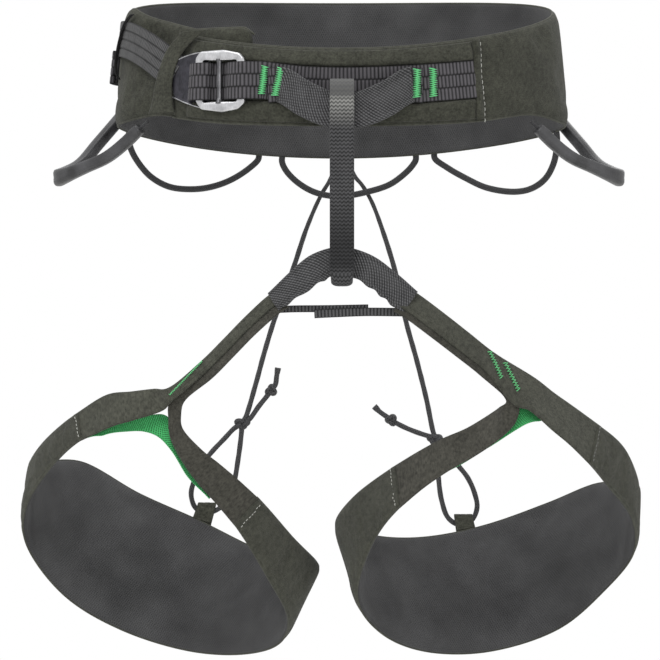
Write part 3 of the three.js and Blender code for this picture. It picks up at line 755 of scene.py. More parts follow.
def pad_outline(width, low, high):
    """A padded band's section from its outer face round to its inner one, thinner at both edges.
    Returns (across, out) pairs and, for each step round the section, 1 where it is lining."""
    reach = (high - low) / 2 - PAD_THIN * 0.5
    flat = np.linspace(-1, 1, PAD_ROWS)
    half = width / 2 - reach
    taper = PAD_THIN * np.abs(flat) ** 6
    outer = np.stack([flat * half, high - taper * 0.5], axis=1)
    inner = np.stack([flat[::-1] * half, low + taper[::-1] * 0.5], axis=1)
    turn = np.linspace(0, np.pi, PAD_BEND + 2)[1:-1]
    round_edge = np.stack([reach * np.sin(turn), reach * np.cos(turn)], axis=1)
    middle = np.array([half, (low + high) / 2])
    top = middle + round_edge
    bottom = middle * [-1, 1] - round_edge
    outline = np.vstack([outer, top, inner, bottom])
    lining = np.zeros(len(outline), int)
    lining[PAD_ROWS + PAD_BEND // 2:2 * PAD_ROWS + PAD_BEND + PAD_BEND // 2] = 1
    return outline, lining


PUFF = 1.0
CLOTH_SETTINGS = {
    "quality": 4, "mass": 0.15, "tension_stiffness": 12, "compression_stiffness": 12, "shear_stiffness": 8,
    "bending_stiffness": 0.4, "shrink_min": -0.035, "use_pressure": True, "uniform_pressure_force": 1.5,
    "vertex_group_mass": "pin",
}


def plump(piece, pinned):
    """Cloth under light pressure and slightly too large for its foam; the puff is capped."""
    before = np.array([v.co for v in piece.data.vertices])
    group = piece.vertex_groups.new(name="pin")
    group.add([int(i) for i in pinned], 1.0, "REPLACE")
    cloth = piece.modifiers.new("cloth", "CLOTH")
    for key, value in CLOTH_SETTINGS.items():
        setattr(cloth.settings, key, value)
    cloth.settings.effector_weights.gravity = 0
    cloth.collision_settings.use_collision = False
    cloth.point_cache.frame_start = 1
    cloth.point_cache.frame_end = 20
    for step in range(1, 17):
        bpy.context.scene.frame_set(step)
    view = bpy.context.evaluated_depsgraph_get()
    after = np.array([v.co for v in piece.evaluated_get(view).data.vertices])
    piece.modifiers.remove(cloth)
    bpy.context.scene.frame_set(1)
    move = after - before
    size = np.linalg.norm(move, axis=1, keepdims=True)
    cap = PUFF * MM
    move = move * np.tanh(size / cap) * cap / np.maximum(size, 1e-9)
    piece.data.vertices.foreach_set("co", (before + move).ravel())
    piece.data.update()


def finish_pad(piece):
    """One subdivision, applied."""
    bpy.context.view_layer.objects.active = piece
    piece.modifiers.new("smooth", "SUBSURF").levels = 1
    view = bpy.context.evaluated_depsgraph_get()
    mesh = bpy.data.meshes.new_from_object(piece.evaluated_get(view))
    piece.modifiers.clear()
    piece.data = mesh


def padded_band(name, rings, lining, body, nodes, outer):
    """A pad from rings of one outline; its long edges and its ends stay where they are sewn."""
    piece = loft(name, rings, [outer, LINING], face_material=lining)
    count, sides = rings.shape[:2]
    free = set(range(1, PAD_ROWS - 1)) | set(range(PAD_ROWS + PAD_BEND + 1, 2 * PAD_ROWS + PAD_BEND - 1))
    pinned = [i * sides + j for i in range(count) for j in range(sides)
              if j not in free or i in (0, 1, count - 2, count - 1)]
    plump(piece, pinned)
    finish_pad(piece)
    settle(piece, body, "olive_fabric", *nodes)


BELT_PAD_INNER = -6.1
BELT_PAD_OUTER = -0.9
belt_angles = np.linspace(LEFT_END, RIGHT_END, 250)
belt_rings = []
for angle in belt_angles:
    top, bottom = band_top(angle), band_bottom(angle)
    sink = OVERLAP_DEPTH * (1 - smoothstep(-angle, 142, 166))
    outline, belt_lining = pad_outline(top - bottom, BELT_PAD_INNER - sink, BELT_PAD_OUTER - sink)
    belt_rings.append(belt_point(angle, outline[:, 0] + (top + bottom) / 2, outline[:, 1]))
belt_rings = np.array(belt_rings)
padded_band("belt_pad", belt_rings, belt_lining, "belt",
            ["belt_outer_shell", "belt_foam", "belt_lining"], OLIVE)


def piping(name, rings, column, body, radius):
    """Piping along one corner of a pad, where the outer fabric and the lining are sewn together."""
    tube_piece = tube(name, even(rings[:, column], 2.0), radius, [OLIVE_EDGE], sides=8)
    settle(tube_piece, body, "olive_fabric")


TOP_COLUMN = PAD_ROWS + 2
BOTTOM_COLUMN = 2 * PAD_ROWS + 6
piping("belt_top_piping", belt_rings, TOP_COLUMN, "belt", 0.75)
piping("belt_bottom_piping", belt_rings, BOTTOM_COLUMN, "belt", 0.75)


# ---------------------------------------------------------------- front webbing and its channel

def strap_outline(width, low, high, columns=40, corner=0.5):
    """A strap's section: many points across both faces, with rounded edges."""
    flat = np.linspace(-width / 2 + corner, width / 2 - corner, columns)
    middle = (low + high) / 2
    half = (high - low) / 2
    outer = np.stack([flat, np.full(columns, high)], axis=1)
    inner = np.stack([flat[::-1], np.full(columns, low)], axis=1)
    right = [[width / 2 - corner * 0.3, middle + half * 0.7], [width / 2, middle],
             [width / 2 - corner * 0.3, middle - half * 0.7]]
    left = [[-x, 2 * middle - y] for x, y in right]
    return np.vstack([outer, right, inner, left]), columns


def ribs(run, u, width, pitch, bands):
    """Height of a webbing's weave: ribs across it, shifted by half a rib from one band to the next."""
    place = (u / width + 0.5) * bands
    band = np.clip(np.floor(place), 0, bands - 1)
    seam = np.abs(place - np.round(place)) * width / bands
    rib = np.abs(np.sin(np.pi * (run / pitch + 0.5 * (band % 2)))) ** 0.7
    return rib * (1 - 0.9 * np.exp(-((seam / 0.45) ** 2)))


def chevrons(run, u, width, pitch, bands):
    """Height of the belay loop's weave: wavy rows."""
    wave = np.abs(((u / width + 0.5) * bands) % 1 - 0.5) * 2
    return np.abs(np.sin(np.pi * (run / pitch + 0.55 * wave))) ** 0.8


def weave_strap(name, points, across, out, width, low, high, surface, pitch=2.1, bands=4,
                amount=0.4, pattern=ribs, endless=False):
    """A strap whose weave is real relief on both faces."""
    outline, columns = strap_outline(width, low, high)
    height = pattern(arc(points)[:, None], outline[None, :, 0], width, pitch, bands)
    face = np.zeros(len(outline))
    face[:columns] = 1
    face[columns + 3:2 * columns + 3] = -1
    section = np.repeat(outline[None], len(points), axis=0)
    section[:, :, 1] += amount * (height - 1) * face
    return sweep(name, points, across, out, section, [surface], endless=endless, relief=height)


def lay_strap(name, line, rise, width, low, high, surface, body, slot, node, **weave):
    """A woven strap along a line, on its body."""
    strap = weave_strap(name, line, *strap_frame(line, rise), width, low, high, surface, **weave)
    settle(strap, body, slot, node)


def belt_rise(points):
    """The direction across webbing that lies on the belt, which leans with the belt's flare."""
    return np.stack([-WAIST_FLARE * points[:, 0] / WAIST_HALF_WIDTH,
                     np.zeros(len(points)), np.ones(len(points))], axis=1)


def on_belt_front(x, z, off):
    """The point off the belt's front face at x and z."""
    width = WAIST_HALF_WIDTH - WAIST_FLARE * z + off
    return belt_point(-math.degrees(math.acos(x / width)), z, off)


# The buckle's own directions: along the belt, out of it and up
buckle_origin = on_belt_front(BUCKLE_X, 0, 0)
buckle_along = unit(on_belt_front(BUCKLE_X + 1, 0, 0) - on_belt_front(BUCKLE_X - 1, 0, 0))
buckle_out = np.cross(buckle_along, Z_AXIS)


def in_buckle(u, z, off):
    """A point in the buckle's frame: u along the belt, z up, off outwards."""
    place = buckle_origin * [1, 1, 0] + buckle_along * u + buckle_out * off
    return place + Z_AXIS * (BUCKLE_Z + z)


FRONT_ROUTE = [(90.3, -14.6), (70, -17), (50, -18.8), (25, -20.3), (0, -20.8), (-25, -19.8), (-40, -18)]
BUCKLE_ROUTE = [
    (31.5, -0.4), (26, 4.3), (20, 7.8), (15.6, 7.7), (11.5, 6.8), (8, 4.8), (5.6, 2.4), (3, 1.2), (0, 1.0),
    (-3.4, 1.1), (-5.2, 2.2), (-6.2, 4.8), (-7.0, 7.0), (-9, 8.2), (-11.8, 8.5), (-14.4, 8.3), (-17.8, 6.8),
    (-20.5, 3.6), (-22, 0.9),
]
webbing_route = [on_belt_front(x, z, WEBBING_OFF) for x, z in FRONT_ROUTE]
webbing_route += [in_buckle(u, 0.4, off) for u, off in BUCKLE_ROUTE]
webbing_line = Path(webbing_route).even(0.42)
web_across, web_out = strap_frame(webbing_line, belt_rise(webbing_line))
front_webbing = weave_strap("waist_webbing", webbing_line, web_across, web_out, WEBBING_WIDTH,
                            -WEBBING_THICK / 2, WEBBING_THICK / 2, WEBBING, pitch=2.6, bands=3, amount=0.55)
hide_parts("front_webbing")
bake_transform(front_webbing)


def webbing_height(angle):
    """Height of the front webbing's middle line, by angle."""
    x = WAIST_HALF_WIDTH * np.cos(np.radians(angle))
    xs, zs = zip(*sorted(FRONT_ROUTE))
    return np.interp(x, (-112, -60) + xs, (-16.6, -16.6) + zs)


# The fabric above and below the webbing is rolled back and stands a little proud of it
LIP = [(0.0, -0.6), (0.0, 1.1), (0.5, 2.0), (1.6, 2.5), (3.4, 2.3), (6.0, 1.5), (9.0, 0.6), (11.5, -0.35),
       (12.2, -0.9), (6.0, -1.2)]


def lip(name, sign, first, last):
    """The fold on one side of the webbing; `sign` is 1 above it and -1 below."""
    angles = np.linspace(first, last, 110)
    start = webbing_height(angles) + sign * (WEBBING_WIDTH / 2 + 0.5)
    limit = band_top(angles - 360) - 1.6 if sign > 0 else band_bottom(angles) + 1.6
    room = np.clip((limit - start) * sign, 3, 40) / LIP[-2][0]
    swell = 1 + 0.08 * np.sin(np.radians(angles) * 23) + 0.05 * np.sin(np.radians(angles) * 57)
    swell *= smoothstep(angles, last, last + 2.5) * smoothstep(-angles, -first, -first + 1.5)
    rings = []
    for k, angle in enumerate(angles):
        rings.append([belt_point(angle, start[k] + sign * u * room[k], v * (swell[k] if v > 0 else 1))
                      for u, v in LIP])
    settle(loft(name, rings, [OLIVE]), "belt", "olive_fabric")


HEM_LEFT = -54.2
CHANNEL_END = -131
lip("upper_channel_fold", 1, HEM_LEFT + 0.6, CHANNEL_END)
lip("lower_channel_fold", -1, HEM_LEFT + 0.6, CHANNEL_END)

# Folded hem of the right panel
HEM_FOLD = [(-54.3, 0.0), (-54.5, 1.3), (-54.2, 2.3), (-53.6, 2.6), (-53.0, 2.3), (-52.5, 1.7), (-52.1, 1.0),
            (-51.8, 0.3), (-51.5, -0.5), (-51.3, -1.3), (-52, -1.8), (-53, -1.7)]
hem_rings = []
for h in np.linspace(0, 1, 60):
    ring = []
    for angle, off in HEM_FOLD:
        top = band_top(angle - 360) - 1.2
        bottom = band_bottom(angle) + 1.0
        wobble = 0.16 * math.sin(9 * h) + 0.1 * math.sin(23 * h + 1)
        ring.append(belt_point(angle + wobble, bottom + (top - bottom) * h, off))
    hem_rings.append(ring)
settle(loft("right_panel_fold", hem_rings, [OLIVE]), "belt", "olive_fabric", "right_panel_hem")

HEM_LOW = -43.5
HEM_HIGH = band_top(-52.0 - 360) - 2.6
hem_line = np.array([belt_point(-51.9 + 0.14 * math.sin(7 * h), HEM_LOW + h * (HEM_HIGH - HEM_LOW), 0.85)
                     for h in np.linspace(0, 1, 90)])
hem_normal = unit(hem_line * [1, 2, 0])
settle(stitches("right_hem_stitches", hem_line, hem_normal, PALE_THREAD, wander=0.25), "belt", "webbing")

# ---------------------------------------------------------------- webbing tail

TAIL_FROM = -135
TAIL_TO = -180


def tail_height(angle):
    """The height of the tail's middle line, which climbs from the buckle towards the side."""
    along = (angle - TAIL_FROM) / (TAIL_TO - TAIL_FROM)
    return -10 + 29 * (1 - (1 - np.clip(along, 0, 1)) ** 2.6)


tail_angles = np.linspace(TAIL_FROM, TAIL_TO, 400)
tail_line = even(belt_point(tail_angles, tail_height(tail_angles), WEBBING_OFF), 0.42)
lay_strap("waist_webbing_tail", tail_line, belt_rise(tail_line), WEBBING_WIDTH, -0.9, 0.9, TAIL_WEBBING,
          "belt", "webbing", "webbing_tail", pitch=1.5, amount=0.3)

# The tail's end is folded over twice and sewn, so that it can't slip back through the buckle
FOLD = [(-182.4, 1.5), (-186, 1.5), (-190, 1.5), (-192.6, 1.7), (-193.6, 2.7), (-192.6, 3.7), (-189, 3.8),
        (-185, 3.8), (-183, 4.0), (-182.3, 4.9), (-183, 5.8), (-186, 6.1), (-190, 6.1), (-193.4, 6.0)]
fold_line = Path([belt_point(a, 1.0, off) for a, off in FOLD]).even(0.42)
lay_strap("waist_webbing_stop", fold_line, belt_rise(fold_line), 23, -0.85, 0.85, WEBBING,
          "belt", "webbing", "tail_folded_end", pitch=1.5)

# Narrow elastic that holds the tail at the side
ELASTIC = [(-160.5, 33.6, 1.2), (-163.5, 28.5, 3.0), (-167, 20, 3.4), (-170.2, 10, 3.5), (-171.5, 1, 3.3),
           (-171, -5, 2.4), (-170, -9, 0.8)]
elastic_line = Path([belt_point(*place) for place in ELASTIC]).even(0.4)
lay_strap("tail_elastic", elastic_line, [0.3, 1, 0], 4.6, -0.5, 0.5, DARK_STRAP,
          "belt", "elastic", "tail_elastic_keeper", pitch=1.0, bands=3, amount=0.15)

# Fabric keeper that slants down over the belt and the tail
KEEPER_TOP = 18
KEEPER_BOTTOM = -36


def keeper_edges(z):
    """The angles of the keeper's two edges at a height."""
    drop = (KEEPER_TOP - z) / (KEEPER_TOP - KEEPER_BOTTOM)
    middle = -129 - 10 * (1 - (1 - drop) ** 3.6)
    half = 2.3 + 1.5 * (1 - drop) ** 2 + 2.6 * drop ** 3
    return middle + half, middle - half


keeper_rings = []
for z in np.linspace(KEEPER_TOP, KEEPER_BOTTOM, 70):
    row = np.linspace(*keeper_edges(z), 16)
    arch = 0.35 * np.sin(np.linspace(0, np.pi, 16)) + 0.25 * math.sin(z / 3.7) * np.linspace(0, 1, 16)
    near = [belt_point(a, z, 3.35 + b) for a, b in zip(row, arch)]
    far = [belt_point(a, z, 2.75 + b) for a, b in zip(row[::-1], arch[::-1])]
    keeper_rings.append(near + far)
settle(loft("slanting_keeper", keeper_rings, [OLIVE]), "belt", "olive_fabric", "fabric_keeper")

# ---------------------------------------------------------------- buckle

def rounded(outline, radius):
    """A polygon with its corners cut to arcs."""
    outline = np.asarray(outline, float)
    points = []
    count = len(outline)
    for i in range(count):
        before, here, after = outline[i - 1], outline[i], outline[(i + 1) % count]
        a, b = unit(before - here), unit(after - here)
        reach = min(radius, 0.45 * np.linalg.norm(before - here), 0.45 * np.linalg.norm(after - here))
        p, q = here + a * reach, here + b * reach
        for t in np.linspace(0, 1, 6):
            points.append((1 - t) ** 2 * p + 2 * t * (1 - t) * here + t * t * q)
    return np.array(points)


def plate(name, outline, holes, low, high, bevel, surface, dome):
    """A stamped plate with rounded edges, from a filled 2D curve; `dome` lifts it at each (u, z)."""
    curve = bpy.data.curves.new(name, "CURVE")
    curve.dimensions = "2D"
    curve.fill_mode = "BOTH"
    for loop_points in [outline] + holes:
        spline = curve.splines.new("POLY")
        spline.points.add(len(loop_points) - 1)
        for point, (u, z) in zip(spline.points, loop_points):
            point.co = (u, z, 0, 1)
        spline.use_cyclic_u = True
    curve.extrude = (high - low) / 2 - bevel
    curve.bevel_depth = bevel
    curve.bevel_resolution = 1
    curve.offset = -bevel
    holder = bpy.data.objects.new(name, curve)
    bpy.context.scene.collection.objects.link(holder)
    view = bpy.context.evaluated_depsgraph_get()
    source = bpy.data.meshes.new_from_object(holder.evaluated_get(view))
    verts = []
    for v in source.vertices:
        u, z, depth = v.co
        off = (low + high) / 2 + depth + dome(u, z)
        verts.append(in_buckle(u, z, off))
    faces = [tuple(p.vertices) for p in source.polygons]
    bpy.data.objects.remove(holder)
    piece = make(name, verts, faces, None, [surface])
    outward(piece, weld=True)
    piece.modifiers.new("shade", "WEIGHTED_NORMAL").keep_sharp = True
    return piece


FRAME_OUTLINE = [(-15.5, -12.5), (-12, -18), (4, -20.3), (15.5, -18.5), (20.3, -14.5),
                 (20.3, 14.5), (16.5, 18.6), (5, 21), (-12, 20.4), (-15.5, 16)]
WINDOW = [(-9.8, -13.2), (14.6, -13.2), (14.6, 14), (-9.8, 14)]
PLATE_OUTLINE = [(-7, -19), (-14, -17), (-26, -13), (-35, -9), (-38, 3), (-35, 15), (-27, 17.8), (-18, 19.8),
                 (-7, 20.8)]
PLATE_RIMS = {"upper": [(-8, 20.4), (-18, 19.5), (-27, 17.5), (-36, 14.4)],
              "lower": [(-13, -16.8), (-20, -14.7), (-27, -12.3), (-36, -8.6)]}

buckle_frame = plate("buckle_ladder", rounded(FRAME_OUTLINE, 1.8), [rounded(WINDOW, 1.4)],
                     3.4, 6.6, 0.9, SILVER, lambda u, z: 0.0)
settle(buckle_frame, "buckle", "bright_aluminium", "buckle_frame")

# The centre bar is the frame's aluminium, drawn in a darker copy of it as painted shade
bar_heights = np.linspace(-14.4, 15.2, 40)
bar_line = [in_buckle(1.4, z, 5.0) for z in bar_heights]
bar_radius = 1.5 + 1.1 * (1 - smoothstep(bar_heights, -14.4, -10.5)) + 0.7 * smoothstep(bar_heights, 12, 15.2)
settle(tube("buckle_centre_bar", bar_line, bar_radius, [SHADED_BAR_METAL], sides=16), "buckle", "bright_aluminium")
flange_line = [in_buckle(2.5, z, 6.0) for z in np.linspace(-14.0, 14.8, 30)]
settle(tube("buckle_bar_flange", flange_line, 0.4, [SILVER_DULL], sides=10), "buckle", "bright_aluminium")


def plate_curve(u, z):
    """The plate bends back with the belt towards its left end, and is dished."""
    dish = 0.9 * math.exp(-(((u + 26) / 7) ** 2) - ((z - 2) / 11) ** 4)
    return -0.0075 * min(u + 12, 0) ** 2 - dish


buckle_plate = plate("buckle_back_plate", rounded(PLATE_OUTLINE, 3.0), [],
                     0.9, 2.6, 0.5, ANODISED, plate_curve)
settle(buckle_plate, "belt", "anodised_aluminium", "buckle_plate")
for label, ends in PLATE_RIMS.items():
    edge = Path([in_buckle(u, z, 2.4 + plate_curve(u, z)) for u, z in ends]).even(0.8)
    plate_rim = tube(f"buckle_plate_rim_{label}", edge, 0.45, [SILVER_DULL], sides=8)
    settle(plate_rim, "belt", "anodised_aluminium")


# ---------------------------------------------------------------- upper tie-in point

tie_route = [on_belt_front(-47, -20, 3.8), on_belt_front(-38, -20, 3.8), (-22, -117.5, -30),
             (-8, -122.6, -36.5), (4, -124, -38.5), (16, -122.8, -36.5), (30, -117.8, -30),
             on_belt_front(46, -20, 3.8), on_belt_front(55, -20, 3.8)]
tie_path = Path(tie_route)
tie_line = tie_path.even(0.45)
lay_strap("tie_in_strap", tie_line, belt_rise(tie_line), 23, -0.6, 0.6, WEBBING,
          "belt", "webbing", "tie_in_webbing", amount=0.2)


def cover(name, line, rise, width, low, high, hem=3.2, ripple=0.0, crown=0.5, scale=None):
    """A wear cover: thin cloth with a raised hem along both edges, and a slight crown."""
    across, out = strap_frame(line, rise)
    outline, columns = strap_outline(width, low, high, columns=36, corner=0.4)
    u = outline[:, 0]
    half = width / 2
    lift = 0.45 * smoothstep(np.abs(u), half - hem, half - hem + 0.5)
    groove = 0.35 * np.exp(-(((np.abs(u) - (half - hem - 0.3)) / 0.35) ** 2))
    face = np.zeros(len(outline))
    face[:columns] = 1
    section = np.repeat(outline[None], len(line), axis=0)
    section[:, :, 1] += (lift - groove) * face + crown * (1 - (u / half) ** 2)
    run = arc(line)[:, None]
    wrinkle = np.sin(run / 2.1 + 1.3 * np.sin(run / 7.3)) * np.clip(-u[None, :] / half, 0, 1) ** 2
    section[:, :, 0] += ripple * wrinkle
    return sweep(name, line, across, out, section, [COVER], width=scale)


cover_line = tie_path.even(0.7, 0.1, 0.9)
tie_cover = cover("tie_in_cover", cover_line, belt_rise(cover_line), 23.5, 0.75, 1.5, crown=0.35)
settle(tie_cover, "belt", "wear_cover", "tie_in_wear_cover")

# Green bar tacks where the strip is sewn to the waist webbing: x, and lift off the webbing's middle
WAIST_TACKS = {"left_outer": (-50.6, 1.65), "left_inner": (-39.9, 3.9),
               "right_inner": (50.2, 3.8), "right_outer": (61.5, 1.65)}
TACK_HALF_HEIGHT = 9.3
TACK_LEAN = 0.85
for name, (x, lift) in WAIST_TACKS.items():
    k = int(np.argmin(np.abs(webbing_line[:, 0] - x)))
    centre = webbing_line[k] + web_out[k] * np.sign(-web_out[k][1]) * lift
    along = unit(webbing_line[k + 1] - webbing_line[k - 1])
    lean = along * np.sign(along[0]) * TACK_LEAN
    half = web_across[k] * np.sign(web_across[k][2]) * TACK_HALF_HEIGHT
    tack = bartack(f"bar_tack_{name}", centre + half + lean, centre - half - lean,
                   unit(centre * [1, 2, 0]), 5.5, GREEN_THREAD, radius=0.38)
    settle(tack, "belt", "green_mesh")

# ---------------------------------------------------------------- belay loop

BELAY_X = 1.6
BELAY_Y = -123.4
BELAY_TOP = -18.5
BELAY_BOTTOM = -151.5
BELAY_RADIUS = 6.5
BELAY_WIDTH = 16


def belay_line(spacing):
    """The middle line of the ring, up its front and down its back, and its outward direction."""
    straight = BELAY_TOP - BELAY_BOTTOM - 2 * BELAY_RADIUS
    half = straight + math.pi * BELAY_RADIUS
    count = round(2 * half / spacing)
    points, outs = [], []
    for k in range(count):
        side, rest = divmod(2 * half * k / count, half)
        climb = min(rest, straight)
        centre = BELAY_TOP - BELAY_RADIUS - climb if side else BELAY_BOTTOM + BELAY_RADIUS + climb
        way = math.pi * side + (rest - climb) / BELAY_RADIUS
        out = np.array([0, -math.cos(way), math.sin(way)])
        points.append(np.array([BELAY_X, BELAY_Y, centre]) + out * BELAY_RADIUS)
        outs.append(out)
    return np.array(points), np.array(outs)


belay_points, belay_out = belay_line(0.5)
belay_ring = weave_strap("belay_ring", belay_points, np.broadcast_to(X_AXIS, belay_points.shape), belay_out,
                         BELAY_WIDTH, -1.5, 1.5, BELAY_WEBBING, pitch=2.5, bands=6, amount=0.45,
                         pattern=chevrons, endless=True)
# The ring is squeezed narrower where the leg bridge passes through it
for vertex in belay_ring.data.vertices:
    x, z = vertex.co.x / MM - BELAY_X, vertex.co.z / MM
    turn = 1 - smoothstep(z, BELAY_BOTTOM - 1, BELAY_BOTTOM + 13)
    vertex.co.x -= float(x * 0.10 * turn) * MM
    vertex.co.z += float(turn * 2.2 * (abs(x) / 8) ** 4) * MM
settle(belay_ring, "leg_harness", "belay_webbing", "belay_loop")

# ---------------------------------------------------------------- bridge and cross strap

BRIDGE = [[-43, -112, -163], [-36, -116, -157], [-26, -120, -149], [-13, -123, -140],
          [1, -124, -136.5], [17, -123, -141], [32, -118, -151.5], [46, -112, -163.5]]
bridge_line = Path(BRIDGE).even(0.6)
lay_strap("bridge_core", bridge_line, Z_AXIS, 13.6, -1.9, -0.5, WEBBING,
          "leg_harness", "webbing", "bridge_webbing", amount=0.2)
bridge_width = 0.78 + 0.22 * smoothstep(bridge_line[:, 0], -46, -14)
bridge_cover = cover("bridge_cover", bridge_line, Z_AXIS, 18.8, -0.2, 0.6, hem=2.6, ripple=0.6, crown=1.3,
                     scale=bridge_width)
settle(bridge_cover, "leg_harness", "wear_cover", "bridge_wear_cover")

CROSS_LAYERS = {
    "left": ("cross_strap", 4.6, [[-41, -109.4, -168], [-30, -109.6, -167.6], [-8, -109.4, -167.4],
                                  [19, -109.8, -166.9]]),
    "right": ("cross_strap_return", 5.6, [[-16.5, -111.4, -171], [-4, -111.4, -170.4], [18, -111.2, -169.6],
                                          [43, -109.2, -169.8]]),
}
for side, (node, width, route) in CROSS_LAYERS.items():
    lay_strap(f"cross_strap_{side}", Path(route).even(0.35), Z_AXIS, width, -0.9, 0.9, DARK_STRAP,
              "leg_harness", "webbing", node, pitch=2.3, bands=1, amount=0.5)

# ---------------------------------------------------------------- leg loops

ARMS = {
    "left": ([[-44.5, -111.4, -165], [-56, -108, -175], [-71, -101, -190], [-87, -94, -206],
              [-103.5, -89, -221.5]], 15),
    "right": ([[47.5, -111.4, -165], [72, -104, -183], [95, -96, -201], [115, -89, -216]], 20),
}
LEG_STATIONS = {
    "left": [
        [-111, -88, -227, 15, 0], [-142, -80, -232, 21, -3], [-173, -60, -243, 21, -4],
        [-199, -33, -263, 22, -5], [-218, 2, -288, 39, 2], [-217, 38, -304, 69, 7],
        [-191, 66, -324, 110, 8], [-151, 84, -349, 113, 8], [-103, 86, -367, 107, 5],
        [-63, 68, -376, 87, 6], [-33, 38, -376, 64, 14], [-22, 5, -364.5, 44, 21],
        [-38, -30, -337, 31, 18], [-62, -52, -303, 20.5, 16], [-86, -70, -278, 15.5, 14],
        [-106, -82, -253, 8, 8]],
    "right": [
        [120, -88, -220, 26, 1], [148, -78, -238, 28, 1], [171, -60, -255, 31, 6],
        [191, -33, -274, 32, 12], [208, 2, -299, 33, 5], [209, 38, -315, 58, 1],
        [189, 66, -330, 88, -1], [156, 84, -352, 104, -3], [109, 86, -368, 105, 3],
        [63, 68, -371, 94, 5], [27, 38, -362, 78, -1], [3, 5, -343, 59, -14],
        [14, -30, -311, 37, -13], [39, -50, -285, 33, -2], [70, -66, -264, 25, -4],
        [101, -82, -246, 22, -2]],
}
LEG_OUTER_SEAM = 2.1
LEG_INNER_SEAM = 13.0
SEAM_GAP = 0.02
GUSSETS = {
    "left": ([[-170, -60, -253.5], [-150, -70, -245.5], [-132, -77, -240.5], [-119, -79.5, -239.5],
              [-113.5, -80.5, -244.5], [-112.5, -79.2, -256], [-100.5, -71, -277.5], [-87, -63, -294.5]],
             [[-167, -62, -255.5], [-155, -67, -250.8], [-143, -72, -249.2], [-131, -76, -249],
              [-121, -78, -252.5], [-112, -77.2, -262], [-101.5, -71, -280], [-89.5, -63, -297]]),
    "right": ([[138, -82, -240.8], [133, -82.5, -238.5], [127, -83.2, -235.6], [120, -84, -232.5],
               [112, -82.5, -240], [106.6, -80.7, -252.6], [89, -73, -266.5], [64, -62, -280]],
              [[137, -82.5, -242.5], [131, -84, -242], [125, -85.5, -243.5], [117, -86, -248],
               [102, -82, -258], [94, -78, -263], [87, -74, -268], [62, -62, -284]]),
}
TABS = {
    "left": [[-100, 113.5, -320.5], [-97, 118, -312], [-96, 121.4, -308.3], [-97, 124.8, -312],
             [-100, 119.8, -324], [-102, 115.2, -331.5]],
    "right": [[93, 108.6, -326.5], [91.5, 113.2, -320], [91, 116.6, -316.5], [91.5, 120, -320],
              [93, 115.6, -331.5], [94, 111.4, -338.5]],
}


def across_edges(top, bottom):
    """Middle line, across direction and width of a strip between two edge lines."""
    across = top - bottom
    return (top + bottom) / 2, unit(across), np.linalg.norm(across, axis=1)


class LegBand:
    """The band of one leg loop: its two edges, and its own directions at each station."""

    def __init__(self, stations):
        stations = np.array(stations, float)
        self.centre = stations[:, :3].mean(axis=0)
        up = LEG_UP * stations[:, 3:4]
        up[:, 0] = stations[:, 4]
        self.top, self.bottom = (Path(stations[:, :3] + up * sign / 2, closed=True) for sign in (1, -1))

    def frame(self, first, last, count):
        """Middle line, across and outward directions, and width at even stations."""
        t = (np.linspace(first, last, count) / 16 + 1) % 1
        middle, across, width = across_edges(self.top.at(t), self.bottom.at(t))
        step = 1e-4
        tangent = sum(unit(e.at(t + step) - e.at(t - step)) for e in (self.top, self.bottom))
        out = unit(np.cross(tangent, across))
        flip = ((middle - self.centre) * out).sum(axis=1) < 0
        out[flip] *= -1
        return middle, across, out, width


ARM_STRIP = {"left": 5.6, "right": 3.6}
STRAP_THICK = 2.3
BAND_INSET = 3.2
FORK = {
    "left": {
        "crest": [[-113.5, -88, -220]],
        "apex": [[-112.4, -91, -229.8]],
        "inner": [[-113, -86, -229.2], [-114, -84.5, -241]],
        "outer": [[-103.4, -86.5, -229.7], [-105.3, -84.5, -237]],
        "rise": [1.0, 1.15, 1.35, 1.0],
    },
    "right": {
        "crest": [],
        "apex": [[117.8, -93, -232.2]],
        "inner": [[119, -90.5, -229.5], [117.2, -89.8, -242.5]],
        "outer": [[111, -89, -228.9], [107, -84, -232.8]],
        "rise": [1.15, 1.2, 1.1, 1.0],
    },
}
FORK_TACK_LOOK = {
    "left": {"width": 1.5, "count": 24, "radius": 0.25},
    "right": {"width": 3.9, "count": 10, "radius": 0.3},
}
FORK_TACKS = {
    "left": [((-90.5, -202), (-112.5, -224.7))],
    "right": [((99.5, -196), (108, -213.5)), ((110, -203.5), (118.7, -221.5))],
}


def between(upper, lower, count, toward):
    """The frame of a strap between two edge lines; `toward` is a point on its inner side."""
    t = np.linspace(0, 1, count)
    middle, across, width = across_edges(Path(upper).at(t), Path(lower).at(t))
    out = unit(np.cross(np.gradient(middle, axis=0), across))
    out *= np.sign(np.median(((middle - toward) * out).sum(axis=1)))
    return middle, across, out, width


